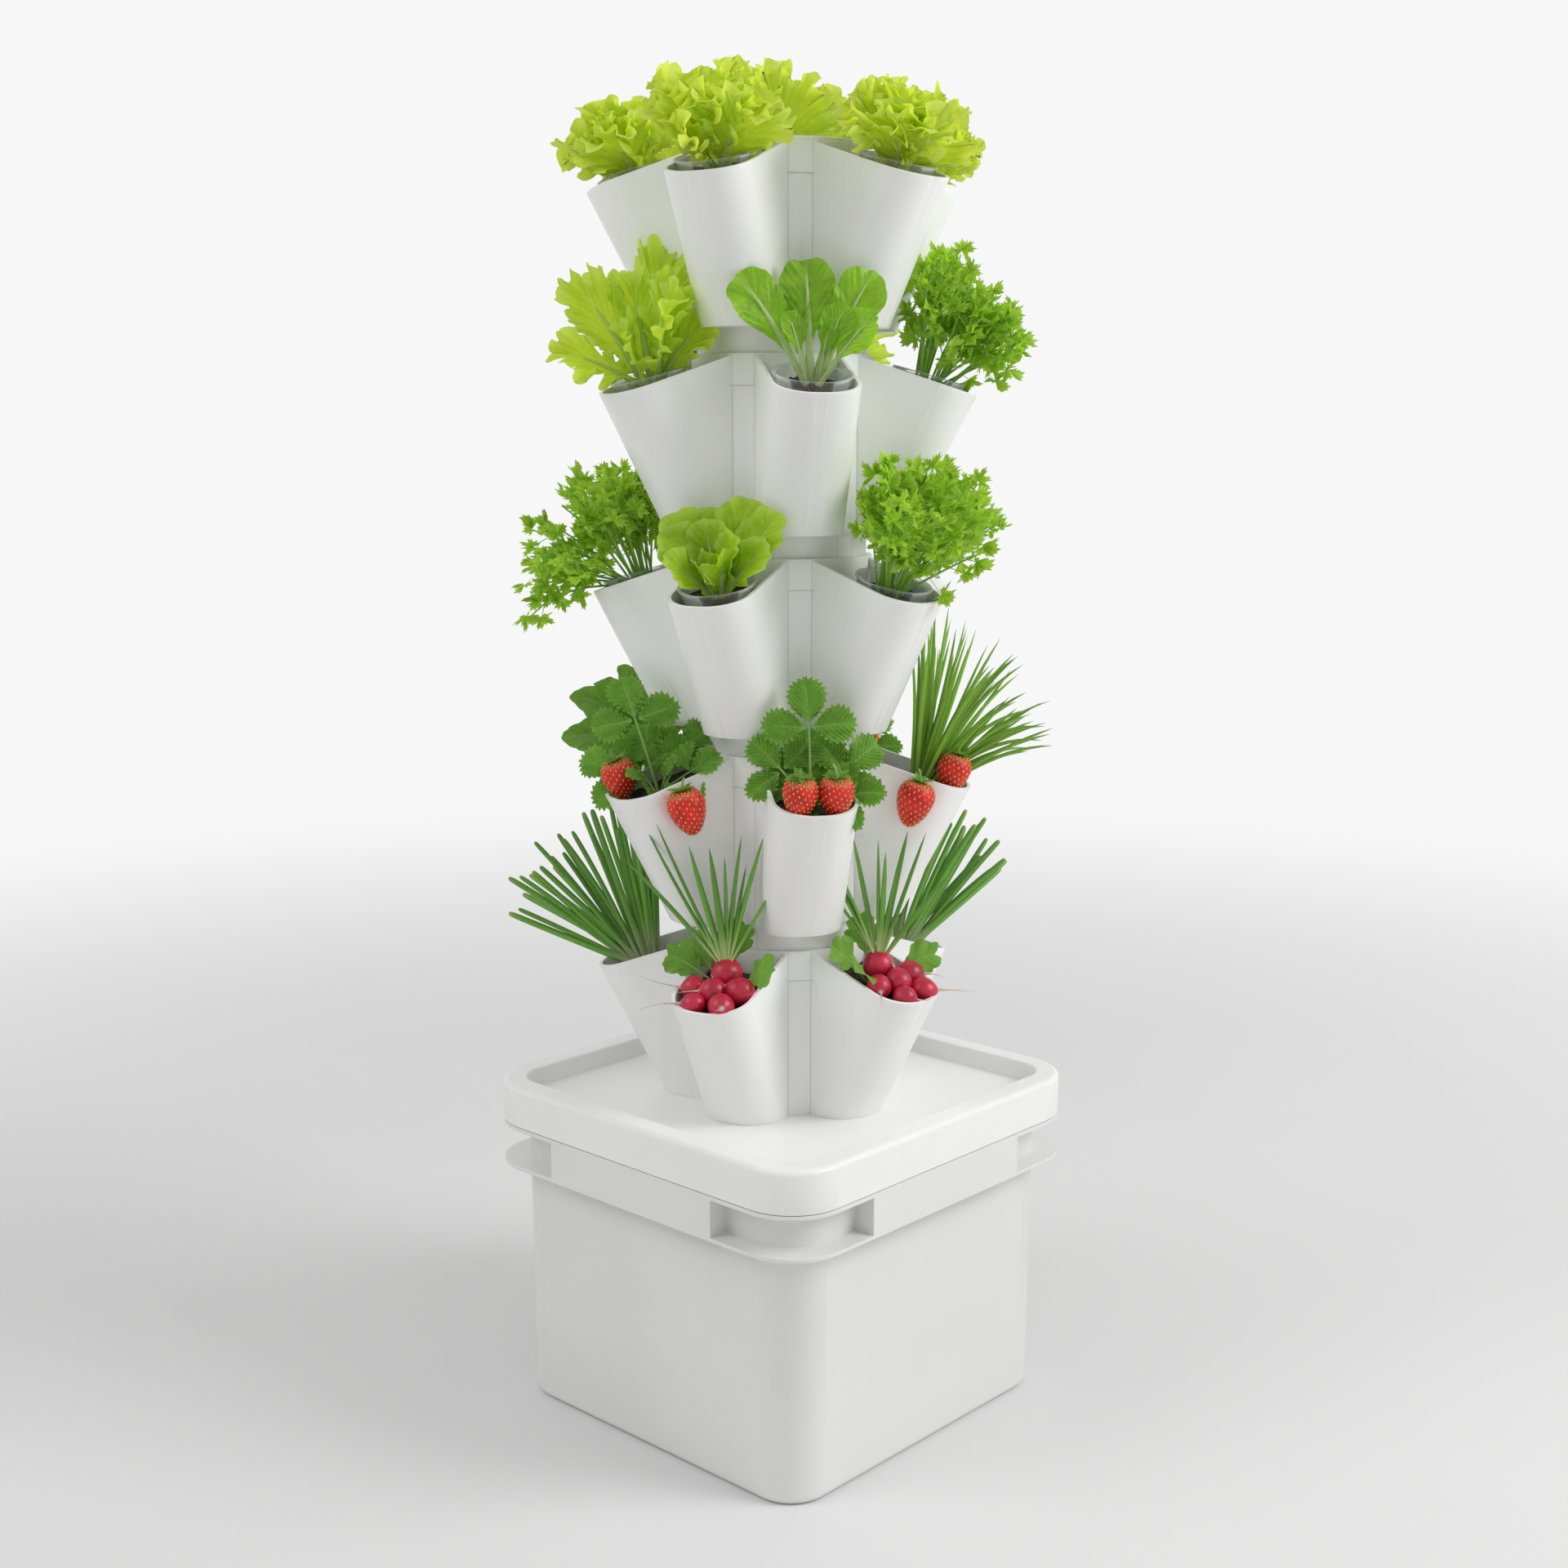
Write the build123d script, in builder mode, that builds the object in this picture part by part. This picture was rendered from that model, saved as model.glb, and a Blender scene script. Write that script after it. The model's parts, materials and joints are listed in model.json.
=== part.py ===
"""Hydroponic tower: five pocket tiers stacked on a square reservoir, with a plant in every pocket.

Millimetres. Z is up, the bucket stands on z = 0, and its four sides face along X and Y.
"""

import os
from collections import namedtuple
from math import atan2, cos, degrees, hypot, radians, sin, sqrt, tan

from build123d import *

os.makedirs("parts", exist_ok=True)

# Clearances between pieces, on the radius or to one side
MOULD_GAP = 0.4
LID_GAP = 0.6
PIPE_GAP = 0.1
SHAFT_GAP = 0.05
POT_GAP = 1.2

# Reservoir bucket
BODY_TAPER = 2.0
BODY_CORNER = 32.0
BODY_WALL = 2.8
BODY_FLOOR = 3.0
FOOT_ROUND = 6.0
BAND_WIDTH = 326.0
BAND_OVERHANG = 16.0
BAND_CORNER = 42.0
BAND_FOOT_Z = 188.0
BAND_TOP_Z = 222.0
BAND_WALL = 3.0
WEB = 3.0
LEDGE = 3.6
LEDGE_ROUND = 1.6
GRIP_REACH = 80.0
GRIP_RIB = 3.0
SEAL_RIM_INSET = 9.0
SEAL_RIM_TOP_Z = 245.0
SEAL_RIM_WALL = 3.0

# Lid
LID_TOP_Z = 254.0
LID_WALL = 3.0
LID_BORDER = 18.0
LID_EDGE_ROUND = 4.5
LID_INNER_ROUND = 2.5
TRAY_DEPTH = 13.2
TRAY_SLOPE = 4.0
TRAY_RIB = 2.6
TRAY_RIB_DEPTH = 10.0
TRAY_RIB_COUNT = 8
GASKET_WIDTH = 5.0

# Tier: a column with five pockets
TIER_COUNT = 5
POCKET_COUNT = 5
TIER_HEIGHT = 125.0
TIER_WALL = 2.6
TIER_FLOOR = 3.0
COLLAR_GAP = 17.3
SPIGOT_RADIUS = 61.5
SPIGOT_WALL = 2.6
COLUMN_WALL = 2.8
SOCKET_DEPTH = 22.0
SOCKET_BAND = 1.0
KEY_WIDTH = 5.0
KEY_HEIGHT = 1.0
KEY_LENGTH = 14.0
SEAT_RIB_WIDTH = 7.0
SEAT_RIB_DEPTH = 3.0
SEAT_RIB_FOOT_Z = 20.0
POCKET_WIDTH = 62.0
POCKET_FOOT_REACH = 90.4
POCKET_TIP_REACH = 140.6
POCKET_TIP_DROP = 28.6
POCKET_RIM_DROP = 3.5
POCKET_FOOT_CORNER = 29.0
POCKET_TIP_CORNER = 28.0
POT_RIB = 2.4
POT_RIB_SPREAD = 20.0
WINDOW_WIDTH = 14.0
WINDOW_LOW_Z = 9.0
WINDOW_HIGH_Z = 38.0

# Growing cup and growing medium
POT_TILT = 16.0
POT_REACH = 107.0
POT_DROP = 14.0
CUP_HEIGHT = 66.0
CUP_FOOT_RADIUS = 19.0
CUP_TOP_RADIUS = 26.3
CUP_LIP_RADIUS = 28.0
CUP_LIP = 1.6
CUP_WALL = 1.0
CUP_DRAIN_RADIUS = 2.5
CUP_DRAIN_RING = 11.0
CUP_DRAIN_COUNT = 5
CUP_SOIL_DROP = 10.0
BED_SOIL_DROP = 14.0

# Drip disc, riser pipe and cap
DISC_RIM = 2.5
DISC_RISE = 9.0
DISC_SKIN = 2.0
DISC_HOLE_RADIUS = 12.0
DRIP_HOLE_RADIUS = 2.0
DRIP_RING_RADIUS = 50.0
DRIP_COUNT = 15
PIPE_RADIUS = 8.0
PIPE_WALL = 1.4
PIPE_LENGTH = 276.0
PIPE_COUNT = 3
RISER_DROP = 47.0
COUPLING_LENGTH = 40.0
COUPLING_WALL = 2.2
NOZZLE_WALL = 2.4
NOZZLE_GRIP = 14.0
NOZZLE_HEAD = 13.0
NOZZLE_SLOT = 2.0
NOZZLE_SLOT_COUNT = 6
CAP_PLATE = 2.5
CAP_SKIRT = 12.0
CAP_WALL = 2.4
CAP_INSET = 0.7

# Pump: motor, chamber, impeller, strainer and flow dial lie along X, with the outlet up the Z axis
PUMP_WIDTH = 44.0
PUMP_ROUND = 5.0
PUMP_FOOT_HEIGHT = 13.0
PUMP_FOOT_RADIUS = 8.0
PUMP_FOOT_NECK = 3.5
PUMP_FOOT_SPREAD_X = 38.0
PUMP_FOOT_SPREAD_Y = 26.0
MOTOR_LENGTH = 54.0
CHAMBER_LENGTH = 18.0
CHAMBER_RADIUS = 16.0
CHAMBER_DEPTH = 14.0
CHAMBER_BACK_X = -8.0
ROTOR_WELL_RADIUS = 8.0
ROTOR_WELL_DEPTH = 28.0
ROTOR_GAP = 0.5
SHAFT_RADIUS = 1.5
SHAFT_SEAT = 6.0
IMPELLER_RADIUS = 14.0
IMPELLER_DISC = 1.6
IMPELLER_END_GAP = 1.0
VANE_COUNT = 6
VANE_WIDTH = 1.6
VANE_LENGTH = 8.0
OUTLET_LENGTH = 16.0
OUTLET_BORE = 4.4
INLET_RADIUS = 4.0
INLET_OFFSET = 7.0
STRAINER_LENGTH = 20.0
STRAINER_WALL = 2.2
STRAINER_SLOT = 2.4
STRAINER_SLOT_COUNT = 5
STRAINER_SLOT_PITCH = 6.4
DIAL_RADIUS = 9.0
DIAL_THICKNESS = 5.0
DIAL_STEM_RADIUS = 3.0
DIAL_PLATE = 1.4
GLAND_RADIUS = 5.0
GLAND_LENGTH = 6.0

# Cord grommet in the bucket's back wall
GROMMET_X = 60.0
GROMMET_Z = 168.0
GROMMET_BORE = 4.5
GROMMET_NECK = 8.0
GROMMET_FLANGE = 11.0
GROMMET_LIP = 2.0

# Plants: rings of leaves or thin blades round a crown. A ring's turn is the angle of its first leaf
# from the way out of the pocket, and its tilts are those of a leaf that points out and one that points in
Leaves = namedtuple("Leaves", "count turn step ring tilt_out tilt_in length width stalk")
Blades = namedtuple("Blades", "count turn step ring tilt_out tilt_in length radius")
LEAF_THICKNESS = 1.6
STALK_WIDTH = 4.0
CROWN_RADIUS = 9.0
CROWN_HEIGHT = 4.0
LEAF_SINK = 1.2
PLANTS = {
    "curly_lettuce": (
        Leaves(7, 0, 360 / 7, 6, 52, 44, 78, 52, 12),
        Leaves(5, 36, 360 / 5, 4, 28, 12, 92, 48, 12),
    ),
    "leaf_lettuce": (
        Leaves(6, 0, 360 / 6, 6, 52, -4, 106, 50, 16),
        Leaves(4, 45, 360 / 4, 4, 28, 2, 98, 44, 16),
    ),
    "chard": (Leaves(7, 0, 360 / 7, 6, 46, 10, 104, 38, 44),),
    "parsley": (
        Leaves(8, 0, 360 / 8, 6, 50, 12, 104, 40, 44),
        Leaves(4, 22, 360 / 4, 4, 30, 4, 88, 36, 40),
    ),
    "butter_lettuce": (
        Leaves(7, 0, 360 / 7, 6, 55, 20, 62, 50, 8),
        Leaves(4, 45, 360 / 4, 4, 28, 8, 52, 42, 8),
    ),
    "strawberry": (
        Leaves(5, 80, 50, 6, 52, 14, 76, 38, 36),
        Leaves(2, -25, 50, 2, 16, 16, 74, 36, 40),
    ),
    "spinach": (Leaves(8, 0, 360 / 8, 6, 55, 12, 104, 46, 36),),
    "chives": (
        Blades(10, 8, 17, 6, 62, 6, 118, 1.8),
        Blades(4, 20, 45, 2, 34, 8, 112, 1.8),
    ),
    "onion": (
        Blades(9, 0, 360 / 9, 6, 58, 8, 118, 3.0),
        Blades(4, 20, 360 / 4, 1, 34, 10, 112, 3.0),
    ),
    "radish": (
        Blades(8, 22.5, 360 / 8, 6, 22, 8, 92, 2.2),
        Leaves(2, 90, 180, 6, 40, 40, 52, 28, 26),
    ),
}
# Each tier from the top: the plants in its pockets, anticlockwise from the first pocket
PLANTING = (
    ("curly_lettuce", "curly_lettuce", "curly_lettuce", "curly_lettuce", "curly_lettuce"),
    ("parsley", "leaf_lettuce", "chard", "leaf_lettuce", "chard"),
    ("parsley", "parsley", "butter_lettuce", "parsley", "butter_lettuce"),
    ("chives", "strawberry", "spinach", "strawberry", "strawberry"),
    ("radish", "onion", "radish", "onion", "radish"),
)
CUP_TIERS = 3

# Fruit: berries stand tip down on the soil or hang over the pocket's side, radishes lie in a heap
BERRY_RADIUS = 12.0
BERRY_LENGTH = 31.0
BERRY_STALK_RADIUS = 1.0
BERRY_HANG = 8.0
RADISH_RADIUS = 9.0
FRUIT_GAP = 0.4
# Pots with one berry over a side of the pocket: that side, and the side of the berry on the soil
BERRY_SIDES = {"4a": (-1, -1), "4d": (1, -1)}

# Sizes that follow
LID_FOOT_Z = BAND_TOP_Z + LID_GAP
TRAY_Z = LID_TOP_Z - TRAY_DEPTH
BODY_TOP_WIDTH = BAND_WIDTH - 2 * BAND_OVERHANG
BODY_FOOT_WIDTH = BODY_TOP_WIDTH - 2 * BODY_TAPER
BODY_DRAFT = degrees(atan2(BODY_TAPER, BAND_TOP_Z))
SEAL_RIM_WIDTH = BAND_WIDTH - 2 * SEAL_RIM_INSET
SEAL_RIM_CORNER = BAND_CORNER - SEAL_RIM_INSET
COLUMN_BORE = SPIGOT_RADIUS + MOULD_GAP
COLUMN_RADIUS = COLUMN_BORE + COLUMN_WALL
SPIGOT_BORE = SPIGOT_RADIUS - SPIGOT_WALL
SPIGOT_LENGTH = COLLAR_GAP + SOCKET_DEPTH
SEAT_Z = TIER_HEIGHT - SOCKET_DEPTH
TIER_PITCH = TIER_HEIGHT + COLLAR_GAP
POCKET_STEP = 360 / POCKET_COUNT
POCKET_TIP_Z = TIER_HEIGHT - POCKET_TIP_DROP
POCKET_LEAN = (POCKET_TIP_REACH - POCKET_FOOT_REACH) / POCKET_TIP_Z
POCKET_CORNER_RATE = (POCKET_TIP_CORNER - POCKET_FOOT_CORNER) / POCKET_TIP_Z
RIM_START_Z = TIER_HEIGHT - POCKET_RIM_DROP
RIM_SLOPE = degrees(atan2(RIM_START_Z - POCKET_TIP_Z, POCKET_TIP_REACH - COLUMN_RADIUS))
TIP_ACROSS = (POCKET_TIP_REACH - POT_REACH) * cos(radians(POT_TILT))
TIP_ALONG = (POCKET_TIP_DROP - POT_DROP) * sin(radians(POT_TILT))
FRUIT_FRONT = TIP_ACROSS + TIP_ALONG - TIER_WALL * hypot(1, POCKET_LEAN) - FRUIT_GAP
PUMP_FOOT_Z = BODY_FLOOR
PUMP_LOW_Z = PUMP_FOOT_Z + PUMP_FOOT_HEIGHT
PUMP_AXIS_Z = PUMP_LOW_Z + PUMP_WIDTH / 2
PUMP_TOP_Z = PUMP_LOW_Z + PUMP_WIDTH
CHAMBER_FRONT_X = CHAMBER_BACK_X + CHAMBER_LENGTH
PIPE_BORE = PIPE_RADIUS - PIPE_WALL
TOWER_TOP_Z = TRAY_Z + TIER_COUNT * TIER_PITCH - COLLAR_GAP
RISER_TOP_Z = TOWER_TOP_Z - RISER_DROP


def tier_foot_z(tier):
    """Height of a tier's foot; tier 1 is the top one."""
    return TRAY_Z + (TIER_COUNT - tier) * TIER_PITCH


def tier_turn(tier):
    """Angle of a tier's first pocket: every second tier is turned by half a pocket."""
    return 0.0 if tier % 2 else POCKET_STEP / 2


def save(part, name):
    """Label a finished piece and write its file."""
    part.label = name
    export_step(part, f"parts/{name}.step")


def rounded_block(width, corner, low, high, draft=0.0):
    """A square block with rounded upright corners, opening by the draft angle upward."""
    with BuildPart() as block:
        with BuildSketch(Plane.XY.offset(low)):
            RectangleRounded(width, width, corner)
        extrude(amount=high - low, taper=-draft)
    return block.part


def rounded_ring(outer, corner, wall, low, high):
    """A square ring with rounded corners and one wall thickness."""
    with BuildPart() as ring:
        add(rounded_block(outer, corner, low, high))
        add(rounded_block(outer - 2 * wall, corner - wall, low, high), mode=Mode.SUBTRACT)
    return ring.part


def corner_blocks(low, high):
    """The four corners of the bucket's band, out to the ends of the hand grips."""
    middle = BAND_WIDTH - 2 * GRIP_REACH
    with BuildPart() as blocks:
        add(rounded_block(BAND_WIDTH, BAND_CORNER, low, high))
        with Locations((0, 0, (low + high) / 2)):
            Box(middle, BAND_WIDTH, high - low, mode=Mode.SUBTRACT)
            Box(BAND_WIDTH, middle, high - low, mode=Mode.SUBTRACT)
    return blocks.part


def tube(outer, inner, low, high):
    """An upright tube about the Z axis."""
    with BuildPart() as pipe:
        with BuildSketch(Plane.XY.offset(low)):
            Circle(outer)
            Circle(inner, mode=Mode.SUBTRACT)
        extrude(amount=high - low)
    return pipe.part


# The cord's grommet stands square to the drafted back wall, on its outside face
BACK_Y = BODY_FOOT_WIDTH / 2 + GROMMET_Z * tan(radians(BODY_DRAFT))
GROMMET_PLANE = Plane(
    origin=(GROMMET_X, BACK_Y, GROMMET_Z),
    x_dir=(1, 0, 0),
    z_dir=(0, cos(radians(BODY_DRAFT)), -sin(radians(BODY_DRAFT))),
)

# Reservoir bucket: drafted pail, a band hung from a web, and a hand grip through each corner
with BuildPart() as bucket_body:
    add(rounded_block(BODY_FOOT_WIDTH, BODY_CORNER, 0, BAND_TOP_Z, BODY_DRAFT))
    fillet(bucket_body.faces().sort_by(Axis.Z)[0].edges(), FOOT_ROUND)

with BuildPart() as grips:
    add(corner_blocks(BAND_FOOT_Z + LEDGE, BAND_TOP_Z - WEB))
    add(bucket_body.part, mode=Mode.SUBTRACT)

with BuildPart() as band:
    side_length = BAND_WIDTH - 2 * GRIP_REACH - 2 * GRIP_RIB
    side_height = BAND_TOP_Z - WEB - BAND_FOOT_Z
    add(rounded_block(BAND_WIDTH, BAND_CORNER, BAND_FOOT_Z, BAND_TOP_Z))
    fillet(band.faces().sort_by(Axis.Z)[0].edges(), LEDGE_ROUND)
    with Locations((0, 0, BAND_FOOT_Z + side_height / 2)):
        Box(BAND_WIDTH - 2 * BAND_WALL, side_length, side_height, mode=Mode.SUBTRACT)
        Box(side_length, BAND_WIDTH - 2 * BAND_WALL, side_height, mode=Mode.SUBTRACT)
    add(grips.part, mode=Mode.SUBTRACT)

with BuildPart() as reservoir_bucket:
    inner_foot = BODY_FOOT_WIDTH - 2 * BODY_WALL
    inner_corner = BODY_CORNER - BODY_WALL
    inner_rim = SEAL_RIM_WIDTH - 2 * SEAL_RIM_WALL
    inner_rim_corner = SEAL_RIM_CORNER - SEAL_RIM_WALL
    add(bucket_body.part)
    add(band.part)
    add(rounded_block(SEAL_RIM_WIDTH, SEAL_RIM_CORNER, BAND_TOP_Z, SEAL_RIM_TOP_Z))
    add(rounded_block(inner_foot, inner_corner, BODY_FLOOR, BAND_TOP_Z, BODY_DRAFT), mode=Mode.SUBTRACT)
    add(rounded_block(inner_rim, inner_rim_corner, BAND_TOP_Z, SEAL_RIM_TOP_Z), mode=Mode.SUBTRACT)
    with BuildSketch(GROMMET_PLANE):
        Circle(GROMMET_NECK)
    extrude(amount=2 * BODY_WALL, both=True, mode=Mode.SUBTRACT)
save(reservoir_bucket.part, "reservoir_bucket")


# Lid: skirt and raised border round a sunk tray, ribbed below, with a keyed hole for the tower
with BuildPart() as lid_gasket:
    gasket_outer = SEAL_RIM_WIDTH - SEAL_RIM_WALL + GASKET_WIDTH
    gasket_corner = SEAL_RIM_CORNER + (GASKET_WIDTH - SEAL_RIM_WALL) / 2
    add(rounded_ring(gasket_outer, gasket_corner, GASKET_WIDTH, SEAL_RIM_TOP_Z, LID_TOP_Z - LID_WALL))
save(lid_gasket.part, "lid_gasket")

with BuildPart() as reservoir_lid:
    tray_width = BAND_WIDTH - 2 * LID_BORDER - 2 * TRAY_SLOPE
    tray_corner = BAND_CORNER - LID_BORDER - TRAY_SLOPE
    tray_draft = degrees(atan2(TRAY_SLOPE, TRAY_DEPTH))
    pan_z = TRAY_Z - LID_WALL
    channel_width = BAND_WIDTH - 2 * LID_WALL
    channel_corner = BAND_CORNER - LID_WALL
    pan_width = tray_width + 2 * LID_WALL
    pan_corner = tray_corner + LID_WALL
    add(rounded_block(BAND_WIDTH, BAND_CORNER, LID_FOOT_Z, LID_TOP_Z))
    fillet(reservoir_lid.faces().sort_by(Axis.Z)[-1].edges(), LID_EDGE_ROUND)
    add(rounded_block(channel_width, channel_corner, LID_FOOT_Z, LID_TOP_Z - LID_WALL), mode=Mode.SUBTRACT)
    add(rounded_block(pan_width, pan_corner, pan_z, LID_TOP_Z - LID_WALL, tray_draft))
    add(rounded_block(tray_width, tray_corner, TRAY_Z, LID_TOP_Z, tray_draft), mode=Mode.SUBTRACT)
    border_edges = reservoir_lid.edges().filter_by(lambda e: abs(e.center().Z - LID_TOP_Z) < 0.01)
    border_reach = BAND_WIDTH / 2 - LID_BORDER + LID_INNER_ROUND
    fillet(
        border_edges.filter_by(lambda e: max(abs(e.center().X), abs(e.center().Y)) < border_reach),
        LID_INNER_ROUND,
    )
    with Locations((0, 0, pan_z - TRAY_RIB_DEPTH / 2)):
        with PolarLocations(0, TRAY_RIB_COUNT // 2, angular_range=180):
            Box(pan_width, TRAY_RIB, TRAY_RIB_DEPTH)
        Cylinder(COLUMN_BORE + TRAY_RIB, TRAY_RIB_DEPTH)
    hole_depth = TRAY_RIB_DEPTH + LID_WALL
    with Locations((0, 0, TRAY_Z - hole_depth / 2)):
        Cylinder(COLUMN_BORE, hole_depth, mode=Mode.SUBTRACT)
        with PolarLocations(COLUMN_BORE, POCKET_COUNT):
            Box(2 * (KEY_HEIGHT + MOULD_GAP), KEY_WIDTH + 2 * MOULD_GAP, hole_depth, mode=Mode.SUBTRACT)
save(reservoir_lid.part, "reservoir_lid")

# Grommet: a spool that snaps into the back wall, with a bore for the pump's cord
with BuildPart() as cord_grommet:
    neck = GROMMET_NECK - MOULD_GAP
    outside = MOULD_GAP
    inside = -(BODY_WALL + MOULD_GAP)
    along_wall = Plane(GROMMET_PLANE.origin, x_dir=GROMMET_PLANE.x_dir, z_dir=-GROMMET_PLANE.y_dir)
    with BuildSketch(along_wall):
        with BuildLine():
            Polyline(
                (GROMMET_BORE, inside - GROMMET_LIP),
                (GROMMET_FLANGE, inside - GROMMET_LIP),
                (GROMMET_FLANGE, inside),
                (neck, inside),
                (neck, outside),
                (GROMMET_FLANGE, outside),
                (GROMMET_FLANGE, outside + GROMMET_LIP),
                (GROMMET_BORE, outside + GROMMET_LIP),
                close=True,
            )
        make_face()
    revolve(axis=Axis(GROMMET_PLANE.origin, GROMMET_PLANE.z_dir))
save(cord_grommet.part, "cord_grommet")


def pocket_reach(z):
    """How far the pocket's front wall stands from the tower's axis at one height of the tier."""
    return POCKET_FOOT_REACH + POCKET_LEAN * z


def pocket_form(inset, low, high):
    """A pocket's solid: flat sides, a front that leans out, corners that tighten upward."""
    front_inset = inset * hypot(1, POCKET_LEAN)
    half_width = POCKET_WIDTH / 2 - inset
    with BuildPart() as form:
        for z in (low, high):
            reach = pocket_reach(z) - front_inset
            corner = POCKET_FOOT_CORNER + POCKET_CORNER_RATE * z - inset
            with BuildSketch(Plane.XY.offset(z)):
                with BuildLine():
                    front = FilletPolyline(
                        (0, -half_width),
                        (reach, -half_width),
                        (reach, half_width),
                        (0, half_width),
                        radius=corner,
                    )
                    Line(front @ 1, front @ 0)
                make_face()
        loft(ruled=True)
    return form.part


# The first pocket's planes: its rim falls outward, and the pot leans out by its own tilt
RIM_PLANE = Plane(
    origin=(COLUMN_RADIUS, 0, RIM_START_Z),
    z_dir=(sin(radians(RIM_SLOPE)), 0, cos(radians(RIM_SLOPE))),
)
POT_AXIS = Vector(sin(radians(POT_TILT)), 0, cos(radians(POT_TILT)))
POT_ORIGIN = Vector(POT_REACH, 0, TIER_HEIGHT - POT_DROP)
POT_PLANE = Plane(
    origin=POT_ORIGIN,
    x_dir=(cos(radians(POT_TILT)), 0, -sin(radians(POT_TILT))),
    z_dir=POT_AXIS,
)
POT_FOOT_PLANE = POT_PLANE.offset(-CUP_HEIGHT)

with BuildPart() as pocket_outside:
    add(pocket_form(0, 0, TIER_HEIGHT))
    split(bisect_by=RIM_PLANE, keep=Keep.BOTTOM)

with BuildPart() as pocket_hollow:
    add(pocket_form(TIER_WALL, TIER_FLOOR, TIER_HEIGHT))
    with Locations((0, 0, TIER_HEIGHT / 2)):
        Cylinder(COLUMN_RADIUS, TIER_HEIGHT, mode=Mode.SUBTRACT)

# Two ribs across each pocket carry the cup's foot
with BuildPart() as pot_ribs:
    with Locations((0, POT_RIB_SPREAD / 2, 0), (0, -POT_RIB_SPREAD / 2, 0)):
        Box(POCKET_TIP_REACH, POT_RIB, TIER_HEIGHT, align=(Align.MIN, Align.CENTER, Align.MIN))
    split(bisect_by=POT_FOOT_PLANE, keep=Keep.BOTTOM)
    add(pocket_hollow.part, mode=Mode.INTERSECT)

# Tier: column and pockets in one moulding, a keyed spigot below and its socket above
with BuildPart() as tier:
    with Locations((0, 0, TIER_HEIGHT / 2)):
        Cylinder(COLUMN_RADIUS, TIER_HEIGHT)
    with PolarLocations(0, POCKET_COUNT):
        add(pocket_outside.part)
    with PolarLocations(0, POCKET_COUNT):
        add(pocket_hollow.part, mode=Mode.SUBTRACT)
    add(tube(COLUMN_RADIUS + SOCKET_BAND, COLUMN_BORE, SEAT_Z, TIER_HEIGHT))
    with Locations((0, 0, TIER_FLOOR)):
        Cylinder(
            COLUMN_BORE,
            TIER_HEIGHT - TIER_FLOOR,
            align=(Align.CENTER, Align.CENTER, Align.MIN),
            mode=Mode.SUBTRACT,
        )
    with PolarLocations(0, POCKET_COUNT):
        add(pot_ribs.part)
    with Locations((0, 0, WINDOW_LOW_Z)):
        with PolarLocations(COLUMN_BORE, POCKET_COUNT):
            Box(
                3 * COLUMN_WALL,
                WINDOW_WIDTH,
                WINDOW_HIGH_Z - WINDOW_LOW_Z,
                align=(Align.CENTER, Align.CENTER, Align.MIN),
                mode=Mode.SUBTRACT,
            )
    add(tube(SPIGOT_RADIUS, SPIGOT_BORE, -SPIGOT_LENGTH, TIER_FLOOR))
    Cylinder(SPIGOT_BORE, 2 * TIER_FLOOR, mode=Mode.SUBTRACT)
    with Locations((0, 0, -SPIGOT_LENGTH)):
        with PolarLocations(SPIGOT_RADIUS, POCKET_COUNT):
            Box(
                2 * KEY_HEIGHT,
                KEY_WIDTH,
                KEY_LENGTH,
                align=(Align.CENTER, Align.CENTER, Align.MIN),
            )
    with Locations((0, 0, SEAT_RIB_FOOT_Z)):
        with PolarLocations(COLUMN_BORE - SEAT_RIB_DEPTH, POCKET_COUNT, start_angle=POCKET_STEP / 2):
            Box(
                SEAT_RIB_DEPTH + COLUMN_WALL / 2,
                SEAT_RIB_WIDTH,
                SEAT_Z - SEAT_RIB_FOOT_Z,
                align=(Align.MIN, Align.CENTER, Align.MIN),
            )
    with Locations((0, 0, SEAT_Z)):
        with PolarLocations(COLUMN_BORE, POCKET_COUNT, start_angle=POCKET_STEP / 2):
            Box(
                2 * (KEY_HEIGHT + MOULD_GAP),
                KEY_WIDTH + 2 * MOULD_GAP,
                SOCKET_DEPTH,
                align=(Align.CENTER, Align.CENTER, Align.MIN),
                mode=Mode.SUBTRACT,
            )
for number in range(1, TIER_COUNT + 1):
    place = Location((0, 0, tier_foot_z(number)), (0, 0, tier_turn(number)))
    save(tier.part.moved(place), f"tier_{number}")


# Drip disc: a low cone on the ledge over each tier's spigot, notched to pass the seat ribs
with BuildPart() as drip_disc:
    disc_radius = COLUMN_BORE - MOULD_GAP
    rim_radius = SPIGOT_BORE - MOULD_GAP
    with BuildSketch(Plane.XZ):
        with BuildLine():
            Polyline(
                (DISC_HOLE_RADIUS, DISC_RISE),
                (DISC_HOLE_RADIUS + DISC_SKIN, DISC_RISE),
                (rim_radius, 0),
                (disc_radius, 0),
                (disc_radius, DISC_RIM),
                (rim_radius, DISC_RIM),
                (DISC_HOLE_RADIUS + DISC_SKIN, DISC_RISE + DISC_SKIN),
                (DISC_HOLE_RADIUS, DISC_RISE + DISC_SKIN),
                close=True,
            )
        make_face()
    revolve(axis=Axis.Z)
    with PolarLocations(DRIP_RING_RADIUS, DRIP_COUNT):
        Cylinder(DRIP_HOLE_RADIUS, 4 * DISC_RISE, mode=Mode.SUBTRACT)
    with PolarLocations(disc_radius, POCKET_COUNT, start_angle=POCKET_STEP / 2):
        Box(
            2 * (SEAT_RIB_DEPTH + MOULD_GAP),
            SEAT_RIB_WIDTH + 4 * MOULD_GAP,
            4 * DISC_RIM,
            mode=Mode.SUBTRACT,
        )
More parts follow.
